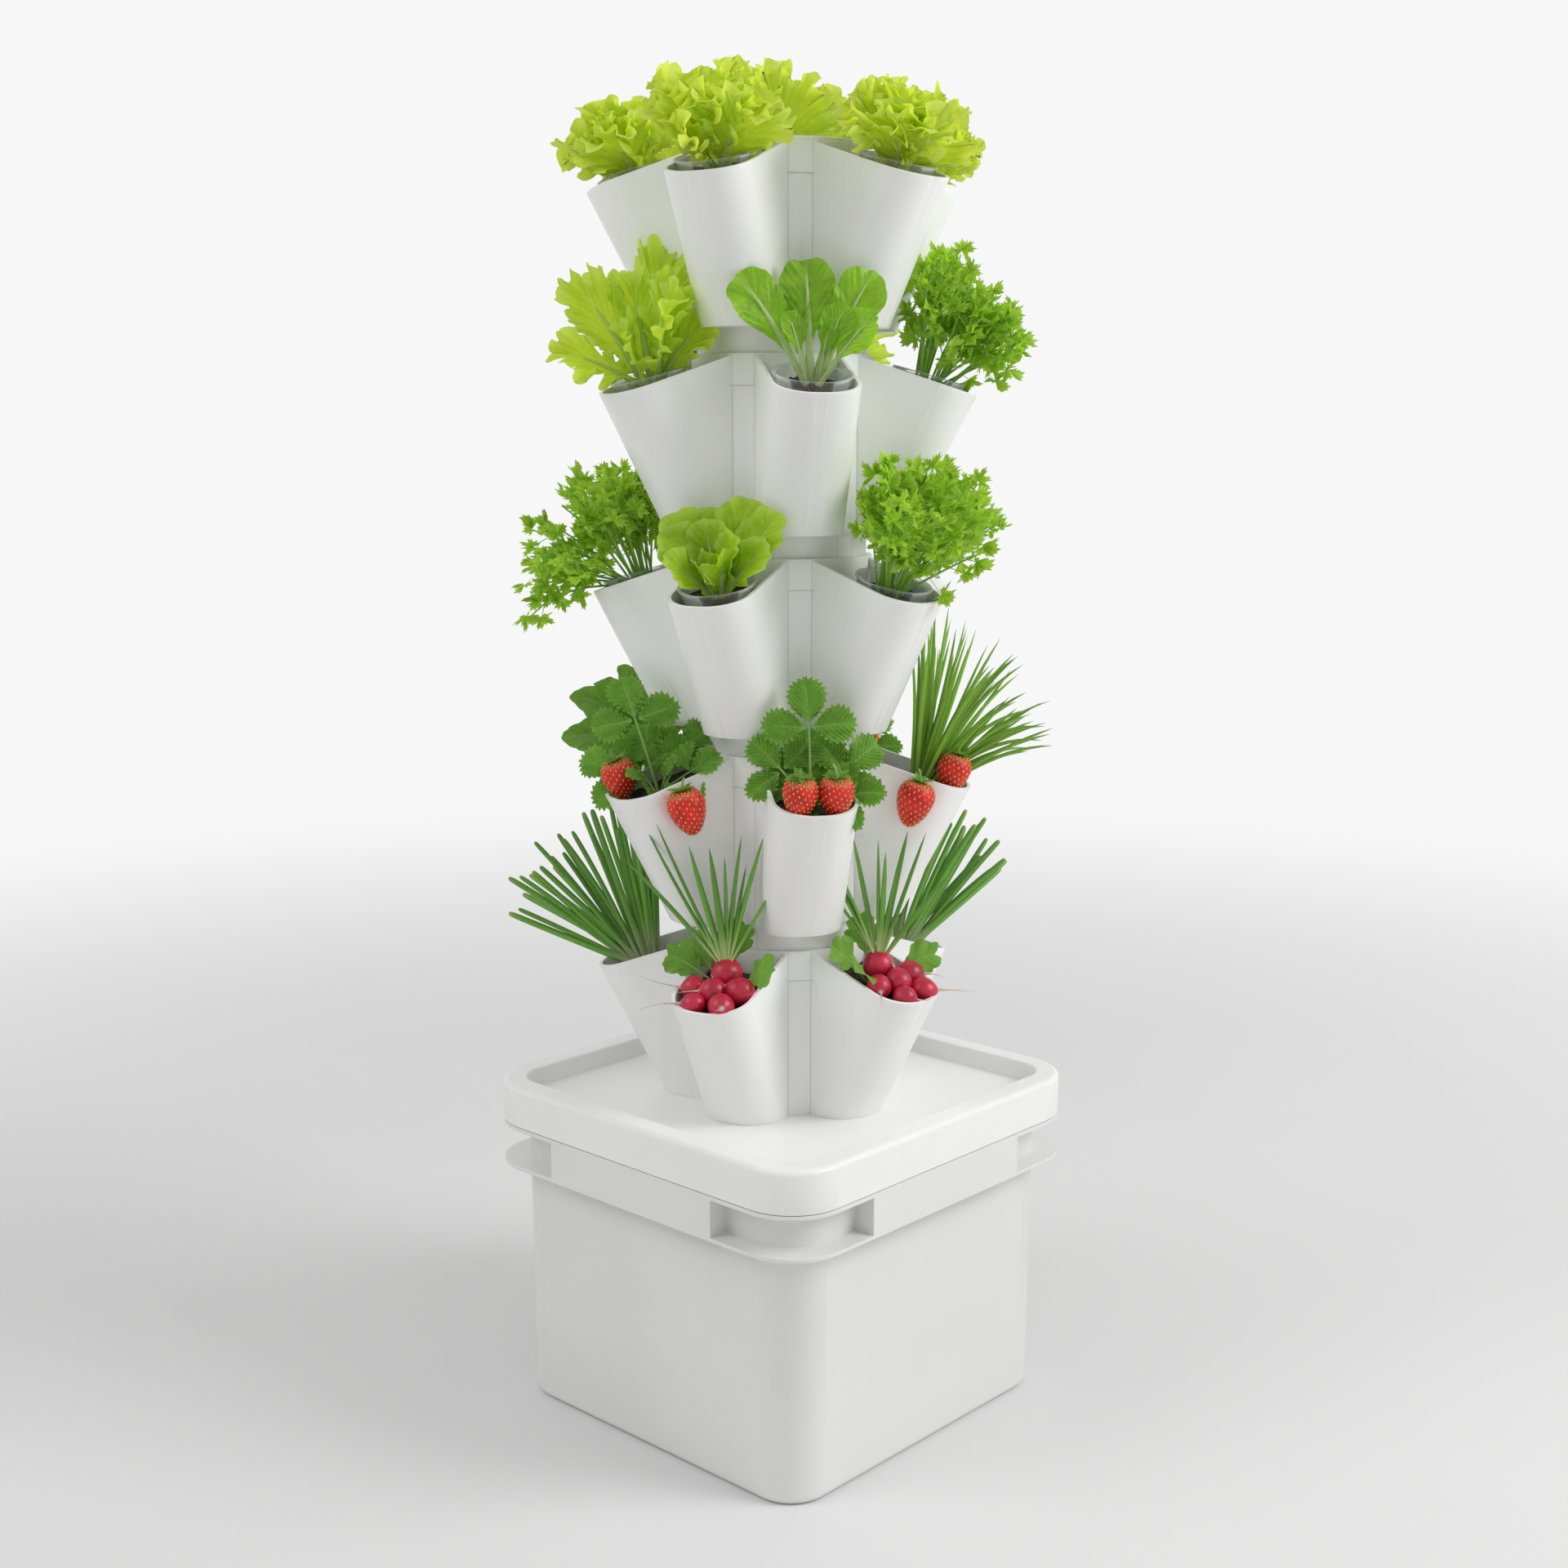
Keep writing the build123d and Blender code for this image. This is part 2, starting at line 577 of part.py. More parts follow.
for number in range(1, TIER_COUNT + 1):
    place = Location((0, 0, tier_foot_z(number) + TIER_FLOOR), (0, 0, tier_turn(number)))
    save(drip_disc.part.moved(place), f"drip_disc_{number}")

# Cap: a plate on the top tier's rim with a skirt that locates in its socket
with BuildPart() as top_cap:
    cap_z = tier_foot_z(1) + TIER_HEIGHT
    cap_radius = COLUMN_RADIUS + SOCKET_BAND - CAP_INSET
    add(tube(SPIGOT_RADIUS, SPIGOT_RADIUS - CAP_WALL, cap_z - CAP_SKIRT, cap_z))
    with Locations((0, 0, cap_z)):
        Cylinder(cap_radius, CAP_PLATE, align=(Align.CENTER, Align.CENTER, Align.MIN))
    fillet(top_cap.faces().sort_by(Axis.Z)[-1].edges(), CAP_PLATE / 3)
save(top_cap.part, "top_cap")

# Riser: pipes butted end to end inside couplings, the last one cut to reach below the tower's top
RISER_ENDS = [PUMP_TOP_Z + index * PIPE_LENGTH for index in range(PIPE_COUNT)] + [RISER_TOP_Z]
for index, name in enumerate(("lower", "middle", "upper")):
    save(tube(PIPE_RADIUS, PIPE_BORE, RISER_ENDS[index], RISER_ENDS[index + 1]), f"riser_{name}")
for name, index in (("lower", 1), ("upper", 2)):
    joint_z = RISER_ENDS[index]
    coupling_bore = PIPE_RADIUS + PIPE_GAP
    save(
        tube(
            coupling_bore + COUPLING_WALL,
            coupling_bore,
            joint_z - COUPLING_LENGTH / 2,
            joint_z + COUPLING_LENGTH / 2,
        ),
        f"coupling_{name}",
    )

with BuildPart() as spray_nozzle:
    nozzle_bore = PIPE_RADIUS + PIPE_GAP
    nozzle_radius = nozzle_bore + NOZZLE_WALL
    slot_height = NOZZLE_HEAD - 2 * NOZZLE_WALL
    with Locations((0, 0, RISER_TOP_Z - NOZZLE_GRIP)):
        Cylinder(nozzle_radius, NOZZLE_GRIP + NOZZLE_HEAD, align=(Align.CENTER, Align.CENTER, Align.MIN))
        Cylinder(
            nozzle_bore,
            NOZZLE_GRIP,
            align=(Align.CENTER, Align.CENTER, Align.MIN),
            mode=Mode.SUBTRACT,
        )
    with Locations((0, 0, RISER_TOP_Z)):
        Cylinder(
            PIPE_BORE,
            NOZZLE_HEAD - NOZZLE_WALL,
            align=(Align.CENTER, Align.CENTER, Align.MIN),
            mode=Mode.SUBTRACT,
        )
    with Locations((0, 0, RISER_TOP_Z + NOZZLE_WALL)):
        with PolarLocations(nozzle_radius, NOZZLE_SLOT_COUNT):
            Box(
                3 * NOZZLE_WALL,
                NOZZLE_SLOT,
                slot_height,
                align=(Align.CENTER, Align.CENTER, Align.MIN),
                mode=Mode.SUBTRACT,
            )
save(spray_nozzle.part, "spray_nozzle")

# Pump: the motor block holds a well for the rotor, and the chamber closes its front
MOTOR_BACK_X = CHAMBER_BACK_X - MOTOR_LENGTH
WELL_END_X = CHAMBER_BACK_X - ROTOR_WELL_DEPTH
STRAINER_FRONT_X = CHAMBER_FRONT_X + STRAINER_LENGTH


def axis_plane(x):
    """A plane across the pump's axis at one place along X."""
    return Plane(origin=(x, 0, PUMP_AXIS_Z), x_dir=(0, 1, 0), z_dir=(1, 0, 0))


def pump_block(low, high):
    """A length of the pump's square, rounded outline."""
    with BuildPart() as block:
        with BuildSketch(axis_plane(low)):
            RectangleRounded(PUMP_WIDTH, PUMP_WIDTH, PUMP_ROUND)
        extrude(amount=high - low)
    return block.part


def axis_rod(radius, low, high):
    """A round bar along the pump's axis."""
    with BuildPart() as rod:
        with BuildSketch(axis_plane(low)):
            Circle(radius)
        extrude(amount=high - low)
    return rod.part


with BuildPart() as pump_motor:
    add(pump_block(MOTOR_BACK_X, CHAMBER_BACK_X))
    fillet(pump_motor.faces().sort_by(Axis.X)[0].edges(), PUMP_ROUND / 2)
    with BuildSketch(Plane(origin=(MOTOR_BACK_X, 0, PUMP_TOP_Z - PUMP_WIDTH / 4), z_dir=(-1, 0, 0))):
        Circle(GLAND_RADIUS)
    extrude(amount=GLAND_LENGTH)
    add(axis_rod(ROTOR_WELL_RADIUS, WELL_END_X, CHAMBER_BACK_X), mode=Mode.SUBTRACT)
    add(axis_rod(SHAFT_RADIUS + SHAFT_GAP, WELL_END_X - SHAFT_SEAT, WELL_END_X), mode=Mode.SUBTRACT)
save(pump_motor.part, "pump_motor")

with BuildPart() as pump_chamber:
    add(pump_block(CHAMBER_BACK_X, CHAMBER_FRONT_X))
    with Locations((0, 0, PUMP_TOP_Z)):
        Cylinder(PIPE_BORE - PIPE_GAP, OUTLET_LENGTH, align=(Align.CENTER, Align.CENTER, Align.MIN))
    add(axis_rod(CHAMBER_RADIUS, CHAMBER_BACK_X, CHAMBER_BACK_X + CHAMBER_DEPTH), mode=Mode.SUBTRACT)
    with Locations((0, 0, PUMP_AXIS_Z)):
        Cylinder(
            OUTLET_BORE,
            PUMP_WIDTH / 2 + OUTLET_LENGTH,
            align=(Align.CENTER, Align.CENTER, Align.MIN),
            mode=Mode.SUBTRACT,
        )
    with BuildSketch(axis_plane(CHAMBER_FRONT_X)):
        with Locations((INLET_OFFSET, 0), (-INLET_OFFSET, 0)):
            Circle(INLET_RADIUS)
    extrude(amount=-(CHAMBER_LENGTH - CHAMBER_DEPTH), mode=Mode.SUBTRACT)
save(pump_chamber.part, "pump_chamber")

shaft_front = CHAMBER_BACK_X + CHAMBER_DEPTH - IMPELLER_END_GAP
save(axis_rod(SHAFT_RADIUS, WELL_END_X - SHAFT_SEAT, shaft_front), "pump_shaft")

with BuildPart() as pump_impeller:
    disc_x = CHAMBER_BACK_X + IMPELLER_END_GAP
    add(axis_rod(ROTOR_WELL_RADIUS - ROTOR_GAP, WELL_END_X + IMPELLER_END_GAP, disc_x))
    add(axis_rod(IMPELLER_RADIUS, disc_x, disc_x + IMPELLER_DISC))
    add(axis_rod(2 * SHAFT_RADIUS, disc_x, disc_x + IMPELLER_DISC + VANE_LENGTH))
    with BuildSketch(axis_plane(disc_x + IMPELLER_DISC)):
        with PolarLocations(SHAFT_RADIUS, VANE_COUNT):
            Rectangle(IMPELLER_RADIUS - 2 * SHAFT_RADIUS, VANE_WIDTH, align=(Align.MIN, Align.CENTER))
    extrude(amount=VANE_LENGTH)
    add(axis_rod(SHAFT_RADIUS + SHAFT_GAP, WELL_END_X, shaft_front), mode=Mode.SUBTRACT)
save(pump_impeller.part, "pump_impeller")

with BuildPart() as pump_strainer:
    inner_width = PUMP_WIDTH - 2 * STRAINER_WALL
    slot_height = PUMP_WIDTH - 4 * PUMP_ROUND
    add(pump_block(CHAMBER_FRONT_X, STRAINER_FRONT_X))
    fillet(pump_strainer.faces().sort_by(Axis.X)[-1].edges(), PUMP_ROUND / 2)
    with BuildSketch(axis_plane(CHAMBER_FRONT_X)):
        RectangleRounded(inner_width, inner_width, PUMP_ROUND - STRAINER_WALL)
    extrude(amount=STRAINER_LENGTH - STRAINER_WALL, mode=Mode.SUBTRACT)
    with BuildSketch(axis_plane(STRAINER_FRONT_X)):
        Circle(DIAL_STEM_RADIUS + PIPE_GAP)
        slot_start = DIAL_RADIUS + STRAINER_SLOT
        with Locations((slot_start, 0), (-slot_start, 0)):
            with GridLocations(STRAINER_SLOT_PITCH / 2, 0, 2, 1):
                Rectangle(STRAINER_SLOT / 2, slot_height)
    extrude(amount=-STRAINER_WALL, mode=Mode.SUBTRACT)
    with BuildSketch(Plane.XZ.offset(PUMP_WIDTH / 2)):
        with Locations((CHAMBER_FRONT_X + STRAINER_LENGTH / 2, PUMP_AXIS_Z)):
            with GridLocations(0, STRAINER_SLOT_PITCH, 1, STRAINER_SLOT_COUNT):
                Rectangle(STRAINER_LENGTH / 2, STRAINER_SLOT)
    extrude(amount=-PUMP_WIDTH, mode=Mode.SUBTRACT)
save(pump_strainer.part, "pump_strainer")

with BuildPart() as pump_flow_dial:
    plate_back = CHAMBER_FRONT_X + MOULD_GAP
    knob_back = STRAINER_FRONT_X + MOULD_GAP
    add(axis_rod(DIAL_STEM_RADIUS, plate_back, knob_back))
    add(axis_rod(DIAL_RADIUS, knob_back, knob_back + DIAL_THICKNESS))
    with BuildSketch(axis_plane(knob_back + DIAL_THICKNESS)):
        Rectangle(STRAINER_SLOT, 2 * (DIAL_RADIUS - STRAINER_SLOT))
    extrude(amount=DIAL_THICKNESS / 2)
    with BuildSketch(axis_plane(plate_back)):
        lobe = INLET_RADIUS + MOULD_GAP
        Rectangle(2 * lobe, 2 * (INLET_OFFSET + lobe))
        Circle(INLET_OFFSET + lobe, mode=Mode.INTERSECT)
    extrude(amount=DIAL_PLATE)
save(pump_flow_dial.part, "pump_flow_dial")

with BuildPart() as pump_foot:
    with BuildSketch(Plane.XZ):
        with BuildLine():
            Polyline(
                (0, 0),
                (PUMP_FOOT_RADIUS, 0),
                (PUMP_FOOT_NECK, PUMP_FOOT_HEIGHT / 2),
                (PUMP_FOOT_NECK, PUMP_FOOT_HEIGHT),
                (0, PUMP_FOOT_HEIGHT),
                close=True,
            )
        make_face()
    revolve(axis=Axis.Z)

with BuildPart() as pump_feet:
    with Locations(((MOTOR_BACK_X + CHAMBER_BACK_X) / 2, 0, PUMP_FOOT_Z)):
        with GridLocations(PUMP_FOOT_SPREAD_X, PUMP_FOOT_SPREAD_Y, 2, 2):
            add(pump_foot.part)
save(pump_feet.part, "pump_feet")


def cup_radius(z):
    """Outer radius of the cup at a height above its foot."""
    return CUP_FOOT_RADIUS + (CUP_TOP_RADIUS - CUP_FOOT_RADIUS) * z / CUP_HEIGHT


# Clear cup and the plug that fills it, drawn about the pot's own axis with the lip at z = 0
with BuildPart() as cup:
    with BuildSketch(Plane.XZ):
        with BuildLine():
            Polyline(
                (0, -CUP_HEIGHT),
                (CUP_FOOT_RADIUS, -CUP_HEIGHT),
                (cup_radius(CUP_HEIGHT - CUP_LIP), -CUP_LIP),
                (CUP_LIP_RADIUS, -CUP_LIP),
                (CUP_LIP_RADIUS, 0),
                (CUP_TOP_RADIUS - CUP_WALL, 0),
                (CUP_FOOT_RADIUS - CUP_WALL, CUP_WALL - CUP_HEIGHT),
                (0, CUP_WALL - CUP_HEIGHT),
                close=True,
            )
        make_face()
    revolve(axis=Axis.Z)
    with Locations((0, 0, -CUP_HEIGHT)):
        with PolarLocations(CUP_DRAIN_RING, CUP_DRAIN_COUNT):
            Cylinder(CUP_DRAIN_RADIUS, 4 * CUP_WALL, mode=Mode.SUBTRACT)

with BuildPart() as cup_plug:
    plug_inset = CUP_WALL + MOULD_GAP
    with BuildSketch(Plane.XZ):
        with BuildLine():
            Polyline(
                (0, CUP_WALL - CUP_HEIGHT),
                (CUP_FOOT_RADIUS - plug_inset, CUP_WALL - CUP_HEIGHT),
                (cup_radius(CUP_HEIGHT - CUP_SOIL_DROP) - plug_inset, -CUP_SOIL_DROP),
                (0, -CUP_SOIL_DROP),
                close=True,
            )
        make_face()
    revolve(axis=Axis.Z)

# The lower tiers have no cup: a bed of growing medium fills the pocket down to its ribs
with BuildPart() as pocket_bed:
    add(pocket_form(TIER_WALL + POT_GAP, TIER_FLOOR, TIER_HEIGHT))
    with Locations((0, 0, TIER_HEIGHT / 2)):
        Cylinder(COLUMN_RADIUS + SOCKET_BAND + POT_GAP, TIER_HEIGHT, mode=Mode.SUBTRACT)
    split(bisect_by=POT_FOOT_PLANE, keep=Keep.TOP)
    split(bisect_by=POT_PLANE.offset(-BED_SOIL_DROP), keep=Keep.BOTTOM)


def leaf_form(leaf):
    """A flat leaf that stands on its stalk along Z: the blade swells, then narrows to a blunt tip."""
    stalk = STALK_WIDTH / 2
    half = leaf.width / 2
    blade = leaf.length - leaf.stalk
    with BuildPart() as form:
        with BuildSketch(Plane.YZ):
            with BuildLine():
                edge = Polyline(
                    (0, 0),
                    (stalk, 0),
                    (stalk, leaf.stalk),
                    (half, leaf.stalk + 0.45 * blade),
                    (0.7 * half, leaf.stalk + 0.85 * blade),
                    (0, leaf.length),
                )
                mirror(edge, about=Plane.YZ)
            make_face()
        extrude(amount=LEAF_THICKNESS / 2, both=True)
    return form.part


def blade_form(blade):
    """A thin, four-sided blade that narrows to half its width."""
    with BuildPart() as form:
        with BuildSketch():
            RegularPolygon(blade.radius, 4)
        extrude(amount=blade.length, taper=degrees(atan2(blade.radius / 2, blade.length)))
    return form.part


def plant_form(species):
    """A plant on its soil at z = 0: rings of leaves that rise from one crown."""
    with BuildPart() as plant:
        Cylinder(CROWN_RADIUS, CROWN_HEIGHT, align=(Align.CENTER, Align.CENTER, Align.MIN))
        for ring in PLANTS[species]:
            form = leaf_form(ring) if isinstance(ring, Leaves) else blade_form(ring)
            for index in range(ring.count):
                turn = ring.turn + index * ring.step
                outward = (1 + cos(radians(turn))) / 2
                tilt = ring.tilt_in + (ring.tilt_out - ring.tilt_in) * outward
                root = Location((ring.ring, 0, LEAF_SINK), (0, tilt, 0))
                add(form.moved(Location((0, 0, 0), (0, 0, turn)) * root))
        reach = 2 * CROWN_RADIUS
        Box(reach, reach, reach, align=(Align.CENTER, Align.CENTER, Align.MAX), mode=Mode.SUBTRACT)
    return plant.part


def berry_form(x, y, top, hung):
    """A strawberry with its calyx at the given top; one that hangs has its stalk from the crown."""
    with BuildPart() as berry:
        with BuildSketch(Plane.XZ):
            with BuildLine():
                outline = Spline(
                    (0, 0),
                    (0.85 * BERRY_RADIUS, -0.1 * BERRY_LENGTH),
                    (BERRY_RADIUS, -0.35 * BERRY_LENGTH),
                    (0.5 * BERRY_RADIUS, -0.8 * BERRY_LENGTH),
                    (0, -BERRY_LENGTH),
                )
                Line(outline @ 1, outline @ 0)
            make_face()
        revolve(axis=Axis.Z)
    placed = berry.part.moved(Location((x, y, top)))
    if not hung:
        return placed
    side = 1 if y > 0 else -1
    with BuildPart() as hanging:
        add(placed)
        with BuildLine():
            stalk = ThreePointArc(
                (x, side * CROWN_RADIUS / 2, CROWN_HEIGHT + FRUIT_GAP + BERRY_STALK_RADIUS),
                (x, 0.55 * y, CROWN_HEIGHT + BERRY_LENGTH / 2),
                (x, y, top - BERRY_STALK_RADIUS),
            )
        with BuildSketch(Plane(origin=stalk @ 0, z_dir=stalk % 0)):
            Circle(BERRY_STALK_RADIUS)
        sweep()
    return hanging.part


def berries(pot):
    """The strawberries of one pot, over its soil."""
    top = BERRY_LENGTH + FRUIT_GAP
    front = FRUIT_FRONT - BERRY_RADIUS
    aside = BERRY_RADIUS + FRUIT_GAP
    if pot not in BERRY_SIDES:
        return [berry_form(front, y, top, False) for y in (aside, -aside)]
    hung, inside = BERRY_SIDES[pot]
    over_side = POCKET_WIDTH / 2 + BERRY_RADIUS + FRUIT_GAP
    return [
        berry_form(front, inside * aside, top, False),
        berry_form(0, hung * over_side, BERRY_HANG, True),
    ]


# Radishes: two at the front, clear of the pocket's corners, three behind them and one on top
RADISH_STEP = 2 * RADISH_RADIUS + FRUIT_GAP
RADISH_ASIDE = 0.6 * RADISH_STEP
CORNER_ROOM = POCKET_TIP_CORNER - TIER_WALL - RADISH_RADIUS - 2 * FRUIT_GAP
CORNER_ASIDE = max(0.0, RADISH_ASIDE - POCKET_WIDTH / 2 + POCKET_TIP_CORNER)
CORNER_SETBACK = CORNER_ROOM - sqrt(CORNER_ROOM**2 - CORNER_ASIDE**2)
RADISH_FRONT = FRUIT_FRONT - RADISH_RADIUS - CORNER_SETBACK
RADISH_BACK = RADISH_FRONT - RADISH_STEP
RADISH_SETBACK = CROWN_RADIUS + RADISH_RADIUS - RADISH_BACK + STALK_WIDTH / 2
with BuildPart() as radish_heap:
    rest = RADISH_RADIUS + FRUIT_GAP
    ring = (RADISH_STEP**2 + RADISH_ASIDE**2) / (2 * RADISH_STEP)
    rise = sqrt(RADISH_STEP**2 - ring**2)
    with Locations((RADISH_FRONT, RADISH_ASIDE, rest), (RADISH_FRONT, -RADISH_ASIDE, rest)):
        Sphere(RADISH_RADIUS)
    with Locations((RADISH_BACK, 0, rest)):
        with GridLocations(0, RADISH_STEP, 1, 3):
            Sphere(RADISH_RADIUS)
    with Locations((RADISH_BACK + ring, 0, rest + rise)):
        Sphere(RADISH_RADIUS)


plants = {species: plant_form(species) for species in PLANTS}
for tier_number, row in enumerate(PLANTING, start=1):
    in_cup = tier_number <= CUP_TIERS
    soil = Location((0, 0, -CUP_SOIL_DROP if in_cup else -BED_SOIL_DROP))
    for pocket, species in enumerate(row):
        pot = f"{tier_number}{'abcde'[pocket]}"
        turn = tier_turn(tier_number) + pocket * POCKET_STEP
        in_tier = Location((0, 0, tier_foot_z(tier_number)), (0, 0, turn))
        in_pocket = in_tier * POT_PLANE.location
        bedding = [cup.part, cup_plug.part] if in_cup else []
        solids = [piece.moved(in_pocket) for piece in bedding]
        if not in_cup:
            solids.append(pocket_bed.part.moved(in_tier))
        setback = RADISH_SETBACK if species == "radish" else 0
        plant = plants[species].moved(in_pocket * soil * Location((-setback, 0, 0)))
        save(Compound([*solids, plant]), f"{species}_pot_{pot}")
        if species == "radish":
            heap = [radish.moved(in_pocket * soil) for radish in radish_heap.solids()]
            save(Compound(heap), f"radishes_{pot}")
        elif species == "strawberry" or pot in BERRY_SIDES:
            save(Compound([b.moved(in_pocket * soil) for b in berries(pot)]), f"strawberries_{pot}")
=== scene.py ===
import json
import math

import bmesh
import bpy
import numpy as np
from bpy.props import FloatProperty, FloatVectorProperty, PointerProperty
from mathutils import Matrix, Vector


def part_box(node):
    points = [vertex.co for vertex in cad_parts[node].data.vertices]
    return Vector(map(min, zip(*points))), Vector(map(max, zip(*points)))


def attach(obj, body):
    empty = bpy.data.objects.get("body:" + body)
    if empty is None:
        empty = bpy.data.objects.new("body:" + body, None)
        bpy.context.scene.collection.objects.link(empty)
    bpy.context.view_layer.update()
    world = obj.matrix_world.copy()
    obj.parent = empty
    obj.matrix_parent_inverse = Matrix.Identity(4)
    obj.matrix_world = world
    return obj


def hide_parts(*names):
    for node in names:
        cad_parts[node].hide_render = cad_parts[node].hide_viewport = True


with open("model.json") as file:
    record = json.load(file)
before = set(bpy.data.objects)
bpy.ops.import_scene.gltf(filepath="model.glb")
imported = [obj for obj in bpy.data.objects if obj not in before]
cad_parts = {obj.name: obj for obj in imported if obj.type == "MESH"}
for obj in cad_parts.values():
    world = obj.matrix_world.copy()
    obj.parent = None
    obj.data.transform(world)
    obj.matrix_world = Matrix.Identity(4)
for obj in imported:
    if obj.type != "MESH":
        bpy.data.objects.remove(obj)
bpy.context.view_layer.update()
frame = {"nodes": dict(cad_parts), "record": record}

bl_info = {
    "name": "Hydroponic Tower",
    "version": (1, 0, 0),
    "blender": (4, 5, 0),
    "location": "3D View > Sidebar > Tower",
    "description": "Finishes, plants and stage for a tiered tower garden on a square reservoir",
    "category": "Object",
}

BODIES = frame["record"]["behaviour"]["bodies"]
POCKETS = "abcde"
FULL_TURN = 2 * math.pi
HAIR = 1e-6
POCKET_STEP = FULL_TURN / len(POCKETS)
CUP_TIERS = (1, 2, 3)
BED_TIERS = (4, 5)


def size(name, default, description):
    """A length that a user would change."""
    return FloatProperty(
        name=name, default=default, description=description, subtype="DISTANCE", unit="LENGTH"
    )


def angle(name, degrees, description):
    """An angle that a user would change."""
    return FloatProperty(
        name=name, default=math.radians(degrees), description=description, subtype="ANGLE", unit="ROTATION"
    )


def tint(name, default, description):
    """A colour that a user would change."""
    return FloatVectorProperty(
        name=name, default=default, description=description, subtype="COLOR", size=3, min=0, max=1
    )


class TowerSizes(bpy.types.PropertyGroup):
    """Sizes of the pockets, cups and fruit, as the solids have them."""

    tier_height: size("Tier height", 0.125, "From a tier's floor to the top of its column")
    tier_seat: size("Tier seat", 0.103, "From a tier's floor to the line under its socket")
    pocket_outside: size("Pocket outside", 0.062, "Across a pocket's outer faces")
    column_outside: size("Column outside", 0.0647, "Outer radius of a tier's column")
    pocket_width: size("Pocket width", 0.0534, "Across the growing medium in a pocket")
    pocket_foot: size("Pocket foot", 0.0861, "Reach of the growing medium at a pocket's floor")
    pocket_lean: FloatProperty(name="Pocket lean", default=0.5208, description="Outward run by unit of rise")
    column_radius: size("Column", 0.0669, "Radius of the column behind a pocket")
    pot_tilt: angle("Pot tilt", 16, "How far each pot leans out")
    pot_reach: size("Pot reach", 0.107, "From the tower's axis to the middle of a pot's lip")
    pot_drop: size("Pot drop", 0.014, "From the top of the column down to the pot's lip")
    cup_height: size("Cup height", 0.066, "Height of a clear cup")
    cup_foot: size("Cup foot", 0.019, "Outer radius at a cup's foot")
    cup_top: size("Cup top", 0.0263, "Outer radius under a cup's lip")
    cup_lip: size("Cup lip", 0.028, "Outer radius of a cup's rolled lip")
    cup_wall: size("Cup wall", 0.0008, "Thickness of a cup's wall")
    cup_soil: size("Cup soil", 0.010, "Depth of the soil below a cup's lip")
    bed_soil: size("Bed soil", 0.014, "Depth of the soil below the lip line in a pocket without a cup")
    berry_radius: size("Berry radius", 0.0125, "Widest radius of a strawberry")
    berry_length: size("Berry length", 0.031, "From a strawberry's calyx to its tip")
    radish_radius: size("Radish radius", 0.0098, "Radius of a usual radish")
    edge_round: size("Edge round", 0.0007, "Round on the moulded edges")


class TowerColours(bpy.types.PropertyGroup):
    """Colours of the plastics, the growing medium and the plants."""

    white: tint("White plastic", (0.93, 0.93, 0.915), "Moulded tiers, discs and lid")
    # A greyer copy of the white plastic: painted shade that keeps the bucket's sides dimmer than the tiers.
    reservoir: tint("Reservoir plastic", (0.82, 0.82, 0.81), "Reservoir bucket")
    pipe: tint("Pipe", (0.72, 0.73, 0.74), "Riser, couplings and nozzle")
    pump: tint("Pump", (0.020, 0.021, 0.024), "Housing of the pump")
    rubber: tint("Rubber", (0.025, 0.025, 0.026), "Gasket, grommet and feet")
    steel: tint("Steel", (0.58, 0.58, 0.57), "Pump shaft")
    clear: tint("Clear plastic", (0.985, 0.99, 0.985), "Cups")
    soil: tint("Growing medium", (0.040, 0.024, 0.015), "Damp growing medium")
    frilly: tint("Frilly lettuce", (0.72, 0.92, 0.045), "Light parts of the frilly lettuce")
    wavy: tint("Wavy lettuce", (0.66, 0.90, 0.045), "Light parts of the wavy lettuce")
    butter: tint("Butter lettuce", (0.46, 0.72, 0.02), "Light parts of the butter lettuce")
    chard: tint("Chard", (0.37, 0.72, 0.03), "Light parts of the chard")
    parsley: tint("Parsley", (0.50, 0.82, 0.05), "Light parts of the parsley")
    strawberry: tint("Strawberry leaf", (0.22, 0.52, 0.05), "Light parts of the strawberry leaves")
    spinach: tint("Spinach", (0.22, 0.48, 0.06), "Light parts of the spinach")
    blade: tint("Chives", (0.30, 0.60, 0.05), "Light parts of the chives")
    onion: tint("Onion", (0.17, 0.44, 0.045), "Light parts of the onion leaves")
    stalk: tint("Pale stalk", (0.50, 0.62, 0.22), "Stalks and the feet of blades")
    berry: tint("Berry", (0.72, 0.018, 0.012), "Ripe strawberry")
    seed: tint("Seed", (0.84, 0.60, 0.16), "Strawberry seeds")
    radish: tint("Radish", (0.54, 0.013, 0.05), "Radish skin")
    root: tint("Root", (0.72, 0.52, 0.42), "Root tails")


class TowerStage(bpy.types.PropertyGroup):
    """The camera, the lights and the floor."""

    azimuth: angle("Azimuth", 42.75, "Turn of the camera round the tower, from the front")
    elevation: angle("Elevation", 10.02, "Rise of the camera over the level")
    distance: size("Distance", 1.5309, "From the camera to what it looks at")
    target: size("Target height", 0.4784, "Height that the camera looks at")
    aside: size("Aside", 0.00129, "Shift of the camera's target to its right")
    lens: FloatProperty(name="Lens", default=46.9, description="Focal length", subtype="DISTANCE_CAMERA")
    floor: tint("Floor", (0.80, 0.80, 0.80), "Floor round the tower")
    backdrop: tint("Backdrop", (0.93, 0.93, 0.93), "What is seen behind the tower")
    key: FloatProperty(name="Key", default=36.0, description="Main light", subtype="POWER", unit="POWER")
    fill: FloatProperty(name="Fill", default=16.0, description="Light from the other side", subtype="POWER")
    sky: FloatProperty(name="Sky", default=0.62, description="Even light from all round")


